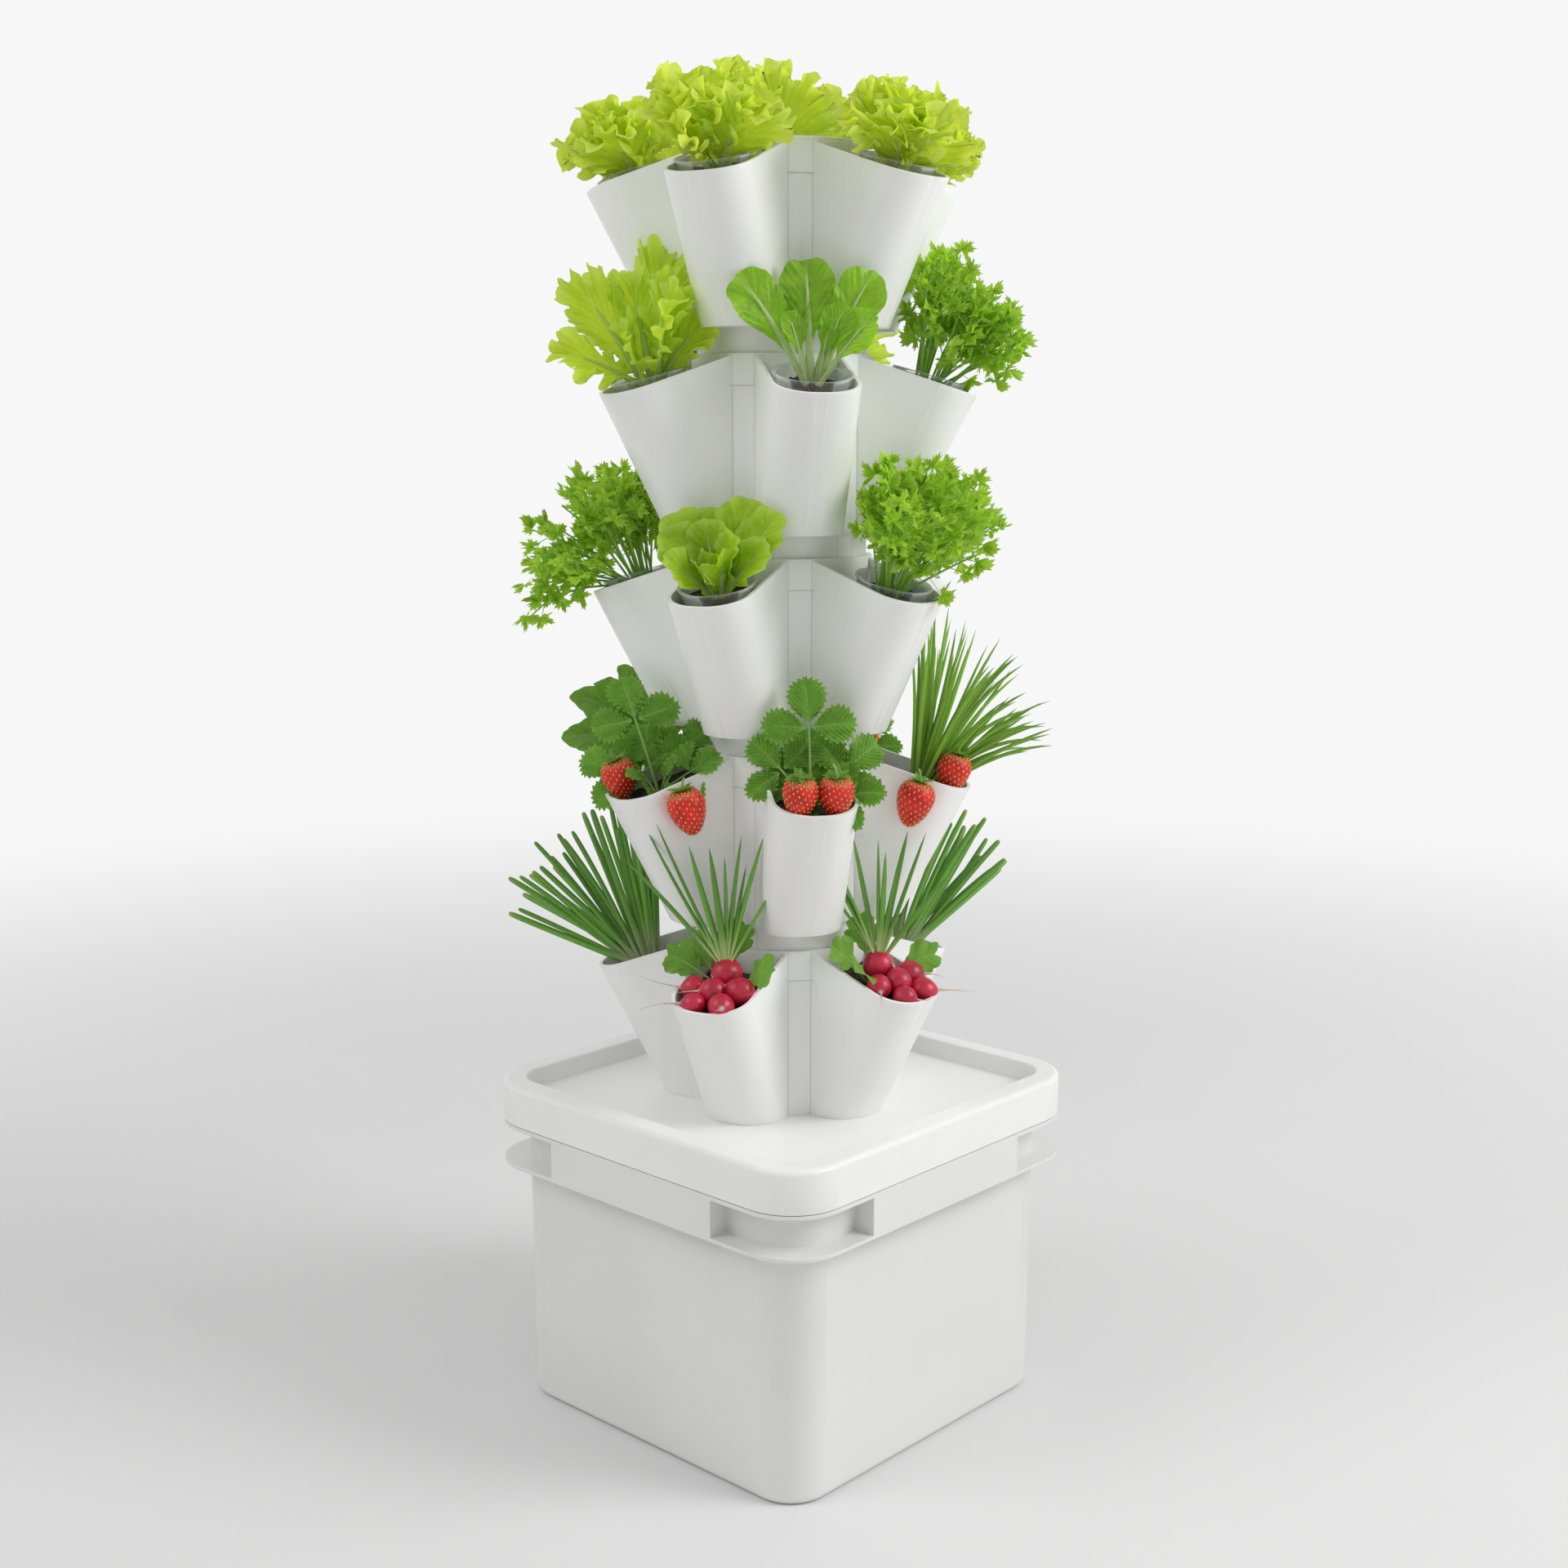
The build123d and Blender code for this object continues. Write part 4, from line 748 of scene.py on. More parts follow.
LANCE = ((0, 0.16), (0.20, 0.42), (0.45, 0.48), (0.75, 0.26), (1.0, 0.0))


def rosette(rng, count, first=0.0):
    """Golden-angle azimuths from the outer leaf in, with how far in each leaf is."""
    for index in range(count):
        yield first + index * GOLDEN_ANGLE + rng.normal(0, 0.12), index / max(1, count - 1)


def frilly_leaf(grown, rng, spine, azimuth, root, length, width):
    """One broad leaf with a deep frill, finer towards its edge."""
    frill = ((0.032, 0.0080), (0.0135, 0.0060), (0.0062, 0.0022))
    lobes = ((0.030, 0.12), (0.0110, 0.10), (0.0046, 0.05))
    leaf(grown, rng, spine, azimuth, root, FAN, length, width, 0.0, rings=13, count=100, frill=frill,
         lobes=lobes, cup=0.45, curl=0.03, swell=3.6, share=0.55, meander=0.6, pleat=(5, 0.0016))
    stalk(grown, spine, azimuth, root, np.linspace(0.0036, 0.0006, 9), 0.6)


def frilly_lettuce(grown, rng, front):
    """Loose head of broad, frilled leaves that spread over the cup; the back head stands taller."""
    tall = np.interp(front, (-2.08, -0.82, 0.43, 1.69, 2.95), (0.86, 0.72, 0.84, 0.74, 1.26))
    for azimuth, inward in rosette(rng, 12, rng.uniform(0, FULL_TURN)):
        length = (0.074 + 0.008 * inward) * tall * rng.uniform(0.90, 1.06)
        width = (0.068 - 0.016 * inward) * rng.uniform(0.92, 1.08)
        lean = math.radians(50 - 41 * inward + rng.normal(0, 5))
        spine = Spine(length, lean * 0.7, math.radians(32 - 18 * inward), 1.5, twist=rng.normal(0, 0.3))
        frilly_leaf(grown, rng, spine, azimuth, 0.005 - 0.003 * inward, length, width)
    at_the_back = abs(front) > 2.5
    aside = ((-126, 30, 0.084), (-104, 46, 0.090), (-88, 34, 0.096), (-70, 48, 0.084), (-98, 58, 0.100))
    if at_the_back:
        for turn, lean, length in aside:
            turn = math.radians(turn)
            twist = 0.5 * facing(turn, front)
            spine = Spine(length, math.radians(lean) * 0.75, math.radians(18), 1.5, twist=twist)
            frilly_leaf(grown, rng, spine, turn, 0.004, length, rng.uniform(0.050, 0.060))


def open_bunch(
    grown, rng, front, leaves, outline, upright, droop, stem, end,
    root=0.004, foot=0.0, power=1.8, turn=1.0, heading=0.0, flat=0.7, **shape
):
    """Leaves on stalks that lean out all round, each as (azimuth, lean, length, width).

    upright is the share of its lean that a leaf starts with, and droop how far it bends, as a part for all
    and a share of its lean. foot is the bare share of a leaf's length, and turn how far it faces the front.
    """
    for azimuth, lean, length, width in leaves:
        azimuth = heading + math.radians(azimuth + rng.normal(0, 4))
        lean = math.radians(lean)
        twist = turn * facing(azimuth, front)
        spine = Spine(length, lean * upright, droop[0] + droop[1] * lean, power, twist=twist)
        leaf(grown, rng, spine, azimuth, root, outline, length * (1 - foot), width, foot, **shape)
        stalk(grown, spine, azimuth, root, np.linspace(*stem), end, flat=flat)


def wavy_lettuce(grown, rng, front):
    """Open bunch of long, wavy leaves that lean out of the pocket."""
    leaves = (
        (-45, 20, 0.094, 0.044), (-157, 27, 0.104, 0.046), (112, 34, 0.078, 0.052),
        (-14, 54, 0.074, 0.036), (152, 52, 0.062, 0.036), (-128, 12, 0.084, 0.040),
        (136, 24, 0.080, 0.042), (20, 12, 0.050, 0.034),
    )
    frill = ((0.032, 0.0070), (0.0140, 0.0048), (0.0064, 0.0020))
    lobes = ((0.027, 0.16), (0.010, 0.10), (0.0046, 0.05))
    open_bunch(grown, rng, front, leaves, OBOVATE, 0.85, (math.radians(8), 0.3), (0.0040, 0.0007, 10), 0.7,
               rings=13, count=96, frill=frill, lobes=lobes, cup=0.3, curl=0.02, share=0.6, swell=2.7,
               meander=0.4)


def chard_bunch(grown, rng, front):
    """Broad, crinkled leaves on pale, flat stalks, fanned to both sides."""
    leaves = (
        (-114, 36, 0.088, 0.036, 0.024), (-176, 22, 0.086, 0.038, 0.026), (111, 29, 0.086, 0.035, 0.026),
        (72, 34, 0.062, 0.030, 0.020), (90, 13, 0.058, 0.024, 0.020), (-100, 16, 0.052, 0.019, 0.020),
        (80, 5, 0.044, 0.012, 0.018), (-150, 30, 0.070, 0.030, 0.024), (146, 30, 0.068, 0.030, 0.024),
    )
    for azimuth, lean, length, width, foot in leaves:
        lean = math.radians(lean + rng.normal(0, 1.5))
        azimuth = math.radians(azimuth)
        spine = Spine(length, lean * 0.85, math.radians(4) + 0.25 * lean, 1.8, twist=facing(azimuth, front))
        leaf(grown, rng, spine, azimuth, 0.004, PADDLE, length - foot, width, foot / length, rings=11,
             count=56, frill=((0.026, 0.0026), (0.011, 0.0012)), lobes=((0.026, 0.05),), cup=0.35, tip=0.08,
             share=0.75, pleat=(8, 0.0022))
        wide = 0.0010 + 0.065 * width
        stalk(grown, spine, azimuth, 0.004, wide * np.array([1, 0.88, 0.76, 0.64, 0.5, 0.35, 0.12]), 0.86)


def parsley_leaflet(grown, rng, spine, azimuth, root, foot, heading, length, tone):
    """A small wedge with three toothed, curled lobes."""
    count = 21
    turns = np.linspace(-1.25, 1.25, count)
    teeth = np.where(np.arange(count) % 2, 0.70, 1.0)
    reach = length * (0.40 + 0.60 * np.abs(np.cos(math.pi * turns / 0.95))) * teeth
    out = np.array([0.04, 0.5, 1.0])
    curl = rng.uniform(0, FULL_TURN)
    lift = 0.24 * length * (out[:, None] ** 2) * np.sin(3.2 * turns + curl)
    lift = lift + rng.normal(0, 0.35) * length * out[:, None]
    across = foot[0] + out[:, None] * reach * np.sin(turns + heading)
    along = foot[1] + out[:, None] * reach * np.cos(turns + heading)
    along = along.ravel() / spine.length
    points = spine.place(across.ravel(), along, (foot[2] + lift).ravel(), azimuth, root)
    middle = np.full(len(points), 0.5)
    marks = np.column_stack([np.tile(np.sin(turns), len(out)), middle, np.repeat(out, count)])
    grown.add(points, lattice(len(out), count), marks, tone)


def parsley_branch(grown, spine, azimuth, root, foot, end, tone, radius=0.0005, sides=4):
    """A thin, straight side stem from a stem to its leaflets."""
    middle = np.linspace(foot, end, sides)
    turns = circle(sides)
    across = (middle[:, :1] + radius * np.cos(turns)).ravel()
    lift = (middle[:, 2:] + radius * np.sin(turns)).ravel()
    along = np.repeat(middle[:, 1], sides) / spine.length
    points = spine.place(across, along, lift, azimuth, root)
    grown.add(points, lattice(sides, sides, True), np.tile(STALK_MARK, (len(points), 1)), tone)


def parsley_bunch(grown, rng, front):
    """Many thin stems with pairs of toothed leaflets up them; a few sprigs hang out over the rim."""
    stems = [(azimuth, inward, False) for azimuth, inward in rosette(rng, 26, rng.uniform(0, FULL_TURN))]
    hang = 1.0 if front > 0 else 0.2
    stems += [(rng.normal(0.2, 0.6), 0.0, True) for _ in range(int(3 + 4 * hang))]
    for azimuth, inward, sprig in stems:
        outward = (1 + math.cos(azimuth)) / 2
        length = rng.uniform(0.066, 0.104) * (1 - 0.10 * inward)
        lean = (8 + (20 + 14 * hang) * outward) * (1 - 0.75 * inward) + rng.normal(0, 5)
        droop = math.radians(4 + 22 * outward * (1 - 0.5 * inward))
        if sprig:
            length = rng.uniform(0.066, 0.088)
            lean = rng.uniform(30 + 14 * hang, 42 + 30 * hang)
            droop = math.radians(rng.uniform(12, 60) * hang)
        sway = rng.normal(0, 0.08)
        spine = Spine(length, math.radians(lean), droop, 1.6, sway, 0.6 * facing(azimuth, front))
        root = 0.002 + 0.009 * rng.uniform()
        stalk(grown, spine, azimuth, root, np.linspace(0.0010, 0.0006, 8), 0.97, 5, 1.0)
        tone = rng.uniform()
        nodes = ((0.36, -1), (0.43, 1), (0.57, -1), (0.62, 1), (0.76, -1), (0.80, 1), (0.97, 0))
        for share, side in nodes[2 * (inward > 0.45):]:
            foot = np.array([0.0, (share + rng.normal(0, 0.015)) * length, 0.0])
            reach = 0.0 if side == 0 else rng.uniform(0.007, 0.017)
            heading = side * math.radians(rng.uniform(36, 72))
            lift = rng.normal(0, 0.005)
            end = foot + np.array([reach * math.sin(heading), reach * math.cos(heading), lift])
            if side:
                parsley_branch(grown, spine, azimuth, root, foot, end, tone)
            for fan in (-72, 0, 72):
                toward = heading * 0.7 + math.radians(fan + rng.normal(0, 14))
                reach = rng.uniform(0.0078, 0.0122)
                shade_of = tone + rng.normal(0, 0.15)
                parsley_leaflet(grown, rng, spine, azimuth, root, end, toward, reach, shade_of)


def butter_lettuce(grown, rng, front):
    """Small open head of upright, cupped leaves."""
    leaves = (
        (-75, 34, 0.058, 0.036), (-112, 30, 0.066, 0.036), (-160, 26, 0.062, 0.038),
        (150, 30, 0.070, 0.036), (122, 44, 0.070, 0.036), (92, 50, 0.054, 0.032), (45, 26, 0.042, 0.030),
        (-40, 46, 0.048, 0.030), (-135, 12, 0.054, 0.032), (100, 16, 0.050, 0.030), (0, 8, 0.038, 0.026),
        (-20, 30, 0.036, 0.026),
    )
    frill = ((0.026, 0.0036), (0.011, 0.0014))
    open_bunch(grown, rng, front, leaves, PADDLE, 0.8, (0.0, 0.35), (0.0028, 0.0005, 9), 0.75, power=1.7,
               turn=0.8, rings=9, frill=frill, lobes=((0.022, 0.05),), cup=0.6, curl=0.05, share=0.68,
               pleat=(7, 0.0016))


def three_leaflets(grown, rng, azimuth, lean, stem, size_of, front):
    """One strawberry leaf: a stalk with a middle leaflet and one at each side."""
    length = stem + size_of
    spine = Spine(length, lean, math.radians(24), 1.9, rng.normal(0, 0.05), facing(azimuth, front))
    stalk(grown, spine, azimuth, 0.003, np.linspace(0.0012, 0.0007, 8), (stem + 0.004) / length, 6, 1.0)
    tone = rng.uniform()
    for turn, share in ((0.0, 1.0), (1.5, 0.94), (-1.5, 0.94)):
        reach = size_of * share
        leaf(grown, rng, spine, azimuth, 0.003, LEAFLET, reach, reach * 0.80, stem / length, rings=9,
             count=84, teeth=(0.0036, 0.24), fold=rng.uniform(0.15, 0.4), tip=0.14, turn=turn, share=0.72,
             pleat=(8, 0.0032), frill=((0.02, 0.0016),), tone=tone + rng.normal(0, 0.18),
             lift=rng.uniform(-0.002, 0.002), neck=0.0025)


def strawberry_leaves(grown, rng, front):
    """A low bunch of strawberry leaves behind the fruit."""
    leaves = (
        (177, 11, 0.055, 0.031), (-118, 44, 0.030, 0.028), (112, 44, 0.032, 0.030),
        (168, 30, 0.025, 0.029), (-150, 34, 0.018, 0.024), (64, 60, 0.026, 0.023),
        (-50, 34, 0.012, 0.018), (40, 26, 0.014, 0.018),
    )
    for azimuth, lean, stem, size_of in leaves:
        azimuth = math.radians(azimuth + rng.normal(0, 6)) + front + 0.2
        three_leaflets(grown, rng, azimuth, math.radians(lean + rng.normal(0, 3)), stem, size_of, front)


def spinach_leaves(grown, rng, front):
    """Large smooth leaves on stalks, most of them swung out to one side of the tower."""
    leaves = (
        (-74, 46, 0.104, 0.050), (-87, 16, 0.094, 0.044), (-77, 70, 0.100, 0.046),
        (-56, 84, 0.080, 0.040), (-45, 38, 0.080, 0.044), (-110, 34, 0.100, 0.046),
        (-150, 30, 0.092, 0.044), (160, 34, 0.090, 0.042), (110, 26, 0.086, 0.040),
        (30, 12, 0.066, 0.034), (-30, 22, 0.058, 0.030),
    )
    frill = ((0.028, 0.0022), (0.012, 0.0008))
    open_bunch(grown, rng, front, leaves, OVATE, 0.75, (math.radians(8), 0.35), (0.0018, 0.0006, 9), 0.9,
               root=0.005, foot=0.42, turn=0.8, heading=front, flat=0.8, rings=9, frill=frill,
               lobes=((0.024, 0.03),), cup=-0.2, fold=0.16, tip=0.12, pleat=(6, 0.0013), share=0.75)


def blade(grown, rng, length, outward, aside, radius, droop, spread, shape, flat=1.0, slot=0, blunt=1.0):
    """One thin blade; outward and aside are how far it leans each way."""
    azimuth = math.atan2(aside, outward)
    lean = math.hypot(outward, aside)
    spine = Spine(length, lean, droop, 1.8, rng.normal(0, 0.04), rng.uniform(-0.6, 0.6))
    root = spread * rng.uniform(0.2, 1.0) * min(1.0, lean / 0.35)
    points, faces, marks = tube(spine, azimuth, root, radius * np.array(shape), 1.0, 8, flat, blunt)
    grown.add(points, faces, marks, rng.uniform(), slot)


SLENDER = (0.7, 0.9, 1, 1, 1, 0.98, 0.94, 0.88, 0.8, 0.66, 0.45, 0.04)
STOUT = (0.9, 0.96, 1, 1, 1, 1, 1, 0.99, 0.98, 0.96, 0.92, 0.86, 0.74, 0.50, 0.04)


def chives_bunch(grown, rng, front):
    """A fountain of fine blades that arch out of the pocket."""
    for index in range(64):
        share = ((index + rng.uniform()) / 64) ** 1.5
        outward = math.radians(-12 + 56 * share)
        aside = rng.normal(0, 0.17)
        length = rng.uniform(0.104, 0.140) * (1 - 0.30 * share)
        droop = rng.uniform(0.05, 1.0) * (0.25 + share)
        blade(grown, rng, length, outward, aside, rng.uniform(0.0013, 0.0018), droop, 0.013, SLENDER)


def onion_bunch(grown, rng, front):
    """Round blades that fan out of the pocket."""
    for index in range(30):
        share = (index + rng.uniform(0.2, 0.8)) / 30
        outward = math.radians(-14 + 66 * share**1.5)
        aside = rng.normal(0, 0.13)
        length = rng.uniform(0.112, 0.142) * (1 - 0.16 * share)
        radius = rng.uniform(0.0020, 0.0027)
        droop = rng.uniform(0.0, 0.15)
        blade(grown, rng, length, outward, aside, radius, droop, 0.013, STOUT, 0.9, blunt=2.2)


def radish_tops(grown, rng, front):
    """Blades that rise from the largest radish, and lobed leaves beside it."""
    largest = np.array([-0.0125, 0.0, 0.0])
    tops = Growth()
    fan = (
        (-37, 76), (-28, 84), (-21, 82), (-14, 66), (-6, 64), (2, 58), (5, 70), (11, 54), (29, 54), (17, 72)
    )
    for turn, length in fan:
        turn = math.radians(turn + rng.normal(0, 2))
        outward = -turn * math.sin(front) - math.radians(13)
        aside = turn * math.cos(front) + rng.normal(0, 0.03)
        radius = rng.uniform(0.0022, 0.0029)
        blade(tops, rng, 0.00138 * length, outward, aside, radius, 0.05, 0.003, SLENDER, 0.45, 1)
    grown.join(tops, largest + (0, 0, 0.020))
    sides = Growth()
    for azimuth, lean, length in ((70, 44, 0.046), (-70, 46, 0.048), (-110, 40, 0.044), (180, 20, 0.046)):
        azimuth = math.radians(azimuth + rng.normal(0, 8))
        spine = Spine(length, math.radians(lean), math.radians(26), 1.6, twist=facing(azimuth, front))
        leaf(sides, rng, spine, azimuth, 0.006, SPOON, 0.030, 0.026, 0.4, rings=8, count=44,
             lobes=((0.016, 0.22), (0.006, 0.06)), frill=((0.014, 0.0022),), fold=0.15, pleat=(5, 0.001))
        stalk(sides, spine, azimuth, 0.006, np.linspace(0.0013, 0.0006, 6), 0.7)
    grown.join(sides, largest)


def revolve(grown, profile, sides, noise=None):
    """A turned form from a (radius, height) profile, about the pot's axis."""
    points = spun(profile, sides)
    if noise:
        points = noise(points)
    grown.add(points, lattice(len(profile), sides, True), np.zeros_like(points))


def lump(grown, centre, radii, tone, slot=0, sides=7, rows=5):
    """A small rounded crumb or seed."""
    polar = np.linspace(0, math.pi, rows)
    points = spun(np.column_stack([np.sin(polar), np.cos(polar)]), sides) * radii + centre
    grown.add(points, lattice(rows, sides, True), np.zeros_like(points), tone, slot)


def hills(rng, height):
    """Uneven soil: a function of (x, y) made of a few random waves."""
    count = 9
    runs = rng.normal(0, 1, (count, 2)) * 330
    starts = rng.uniform(0, FULL_TURN, count)

    def level(x, y):
        return height * sum(np.sin(run[0] * x + run[1] * y + s) for run, s in zip(runs, starts)) / 3

    return level


def cup_form(grown, sizes):
    """A clear cup: straight tapered wall, rolled lip, thin floor."""
    wall, lip, top, foot = sizes.cup_wall, sizes.cup_lip, sizes.cup_top, sizes.cup_foot
    low = -sizes.cup_height
    bead = 0.0011
    middle = lip - bead
    roll = [(middle + bead * math.cos(t), -bead + bead * math.sin(t)) for t in np.linspace(-1.3, 3.4, 9)]
    profile = [(0.0005, low), (foot - 0.001, low), (foot, low + 0.001), (top, -2.2 * bead), *roll]
    profile += [(top - wall, -2.4 * bead), (foot - wall, low + 0.001 + wall), (0.0005, low + wall)]
    revolve(grown, profile, 56)


def soil_plug(grown, rng, sizes):
    """The soil in a cup, rough on top, with crumbs."""
    level = hills(rng, 0.0011)
    low = -sizes.cup_height + 2 * sizes.cup_wall
    rate = (sizes.cup_top - sizes.cup_foot) / sizes.cup_height
    inset = sizes.cup_wall + 0.0004

    def wall(z):
        return sizes.cup_foot + rate * (z + sizes.cup_height) - inset

    top = -sizes.cup_soil
    profile = [(0.0005, low), (wall(low), low), (wall(low / 2), low / 2), (wall(top), top)]
    profile += [(wall(top) * share, top) for share in np.linspace(0.97, 0.02, 13)]

    def rough(points):
        flat = points[:, 2] > top - HAIR
        inner = flat & (np.hypot(points[:, 0], points[:, 1]) < 0.96 * wall(top))
        points[inner, 2] += level(points[inner, 0], points[inner, 1])
        return points

    def on_soil(x, y):
        return x, y, top + level(x, y) + 0.0002

    revolve(grown, profile, 44, rough)
    crumbs(grown, rng, 70, 0.021, 0.0020, on_soil)


def crumbs(grown, rng, count, reach, largest, on_soil):
    """Loose crumbs that lie half in the soil; on_soil places one by its way off the middle."""
    smallest = 0.0006
    for _ in range(count):
        out = reach * math.sqrt(rng.uniform())
        turn = rng.uniform(0, FULL_TURN)
        centre = on_soil(out * math.cos(turn), out * math.sin(turn))
        lump(grown, centre, rng.uniform(smallest, largest, 3), rng.uniform())


class PotWork:
    """What every planting operator does: reads the sizes and the stage, plants each pot of its species."""

    bl_options = {"REGISTER", "UNDO"}

    def plant(self, context, species, grow, materials, slot_name, seed):
        sizes, stage = context.scene.tower_sizes, context.scene.tower_stage
        for pot, node in pots_of(species):
            grown = Growth()
            grow(grown, pot_random(seed, pot, step=17), pot_front(stage, pot))
            place = soil_frame(sizes, pot)
            made = grown.piece(f"{species}_{pot}", f"pot_{pot}", place, materials)
            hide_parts(node)


class TOWER_OT_stage(bpy.types.Operator):
    """Floor, backdrop, soft lights and the camera"""

    bl_idname = "tower.stage"
    bl_label = "Stage"

    def execute(self, context):
        stage = context.scene.tower_stage
        finish = Finish("pale_floor")
        cloud = finish.noise(2.0, 2.0)
        colour = finish.blend(cloud.ramp(0.3, 0.7), shade(stage.floor, 0.985), stage.floor)
        ground = finish.principled(colour, 0.75, Specular_IOR_Level=0.2)
        x, y, _ = finish.split(finish.place())
        far = ((x * x + y * y) ** 0.5).ramp(0.7, 2.6)
        rays = ("Is Camera Ray", "Is Glossy Ray", "Is Transmission Ray")
        seen = sum(finish.node("ShaderNodeLightPath", out=ray) for ray in rays)
        pale = finish.node("ShaderNodeEmission", None, {"Color": (*stage.backdrop, 1.0), "Strength": 1.0})
        mixed = finish.node("ShaderNodeMixShader", None, {0: seen * far, 1: ground, 2: pale})
        material = finish.surface(mixed)
        flat, bend = 3.2, 1.6
        turns = np.linspace(0, math.pi / 2, 12)
        rise = [(flat + bend * math.sin(t), bend - bend * math.cos(t)) for t in turns]
        profile = [(0.001, 0.0), (0.4, 0.0), (1.2, 0.0), (2.2, 0.0), *rise, (flat + bend, 2 * bend)]
        sides = 96
        mesh = bpy.data.meshes.new("floor")
        mesh.from_pydata(spun(profile, sides).tolist(), [], lattice(len(profile), sides, True).tolist())
        for face in mesh.polygons:
            face.use_smooth = True
        mesh.materials.append(material)
        floor = bpy.data.objects.new("floor", mesh)
        context.scene.collection.objects.link(floor)

        back = Vector((
            math.sin(stage.azimuth) * math.cos(stage.elevation),
            -math.cos(stage.azimuth) * math.cos(stage.elevation),
            math.sin(stage.elevation),
        ))
        right = Vector((math.cos(stage.azimuth), math.sin(stage.azimuth), 0))
        target = Vector((0, 0, stage.target)) + right * stage.aside
        camera = bpy.data.objects.new("camera", bpy.data.cameras.new("camera"))
        camera.data.lens = stage.lens
        camera.data.clip_start = 0.05
        camera.location = target + back * stage.distance
        camera.rotation_euler = (-back).to_track_quat("-Z", "Y").to_euler()
        context.scene.collection.objects.link(camera)
        context.scene.camera = camera

        forward = Vector((back.x, back.y, 0)).normalized()
        middle = Vector((0, 0, 0.5))
        lamps = (
            ("key", stage.key, forward * 0.6 + right * 2.2 + Vector((0, 0, 1.9)), 1.5),
            ("fill", stage.fill, forward * 0.8 - right * 2.1 + Vector((0, 0, 2.2)), 1.6),
        )
        for name, power, where, width in lamps:
            lamp = bpy.data.lights.new(name, "AREA")
            lamp.energy = power
            lamp.shape = "DISK"
            lamp.size = width
            made = bpy.data.objects.new(name, lamp)
            made.location = where
            made.rotation_euler = (middle - where).to_track_quat("-Z", "Y").to_euler()
            made.visible_camera = False
            context.scene.collection.objects.link(made)

        world = bpy.data.worlds.new("soft_room")
        world.use_nodes = True
        sky = world.node_tree.nodes["Background"]
        sky.inputs["Color"].default_value = (1.0, 1.0, 1.0, 1.0)
        sky.inputs["Strength"].default_value = stage.sky
        context.scene.world = world
        context.scene.view_settings.view_transform = "Standard"
        return {"FINISHED"}


def dress(nodes, material, edge=0.0):
    """Gives CAD nodes their finish, and rounds their moulded edges."""
    for name in nodes:
        solid = frame["nodes"][name]
        solid.data.materials.clear()
        solid.data.materials.append(material)
        if edge:
            weld = solid.modifiers.new("join", "WELD")
            weld.merge_threshold = HAIR
            bevel = solid.modifiers.new("edge", "BEVEL")
            bevel.width = edge
            bevel.segments = 2
            bevel.limit_method = "ANGLE"
            bevel.angle_limit = math.radians(42)


class TOWER_OT_shell(bpy.types.Operator):
    """White plastic of the tiers, lid, reservoir, discs and cap"""

    bl_idname = "tower.shell"
    bl_label = "White shell"

    def execute(self, context):
        colours, sizes = context.scene.tower_colours, context.scene.tower_sizes
        white = moulded_plastic("white_shell", colours.white)
        for name, tiers, first in (("odd_tiers", (1, 3, 5), 0.0), ("even_tiers", (2, 4), POCKET_STEP / 2)):
            # The tiers' white carries painted shade: a shadow line under each socket and shade lines up the
            # pocket corners.
            shade_lined = moulded_plastic(name, colours.white, shade_lines=(sizes, first))
            dress([f"tier_{k}" for k in tiers], shade_lined, sizes.edge_round)
        dress(["reservoir_lid", "top_cap"], white, sizes.edge_round)
        # The bucket takes the greyer copy of the white, as painted shade.
        dress(["reservoir_bucket"], moulded_plastic("reservoir_shaded_shell", colours.reservoir), sizes.edge_round)
        dress([f"drip_disc_{k}" for k in range(1, 6)], white)
        return {"FINISHED"}


class TOWER_OT_waterworks(bpy.types.Operator):
    """Riser, couplings, nozzle, pump, gasket and grommet"""

    bl_idname = "tower.waterworks"
    bl_label = "Pump and riser"

    def execute(self, context):
        colours = context.scene.tower_colours
        pipe = moulded_plastic("pipe_plastic", colours.pipe, 0.28)
        dress(["riser_lower", "riser_middle", "riser_upper"], pipe)
        dress(["coupling_lower", "coupling_upper", "spray_nozzle"], pipe)
        pump = moulded_plastic("pump_plastic", colours.pump, 0.42)
        dress(["pump_motor", "pump_chamber", "pump_strainer", "pump_flow_dial", "pump_impeller"], pump)
        dress(["lid_gasket", "cord_grommet", "pump_feet"], soft_rubber("seal_rubber", colours.rubber))
        dress(["pump_shaft"], turned_steel("shaft_steel", colours.steel))
        return {"FINISHED"}


class TOWER_OT_cups(PotWork, bpy.types.Operator):
    """Clear cups and the soil in them"""

    bl_idname = "tower.cups"
    bl_label = "Cups"

    def execute(self, context):
        colours, sizes = context.scene.tower_colours, context.scene.tower_sizes
        clear = clear_plastic("clear_cup", colours.clear)
        soil = damp_soil("damp_soil", colours.soil)
        for pot in pots_in(CUP_TIERS):
            place = pot_frame(sizes, pot)
            cup = Growth()
            cup_form(cup, sizes)
            cup.piece(f"cup_{pot}", f"pot_{pot}", place, [clear])
            plug = Growth()
            soil_plug(plug, pot_random(300, pot, step=10), sizes)
            plug.piece(f"soil_{pot}", f"pot_{pot}", place, [soil])
        return {"FINISHED"}


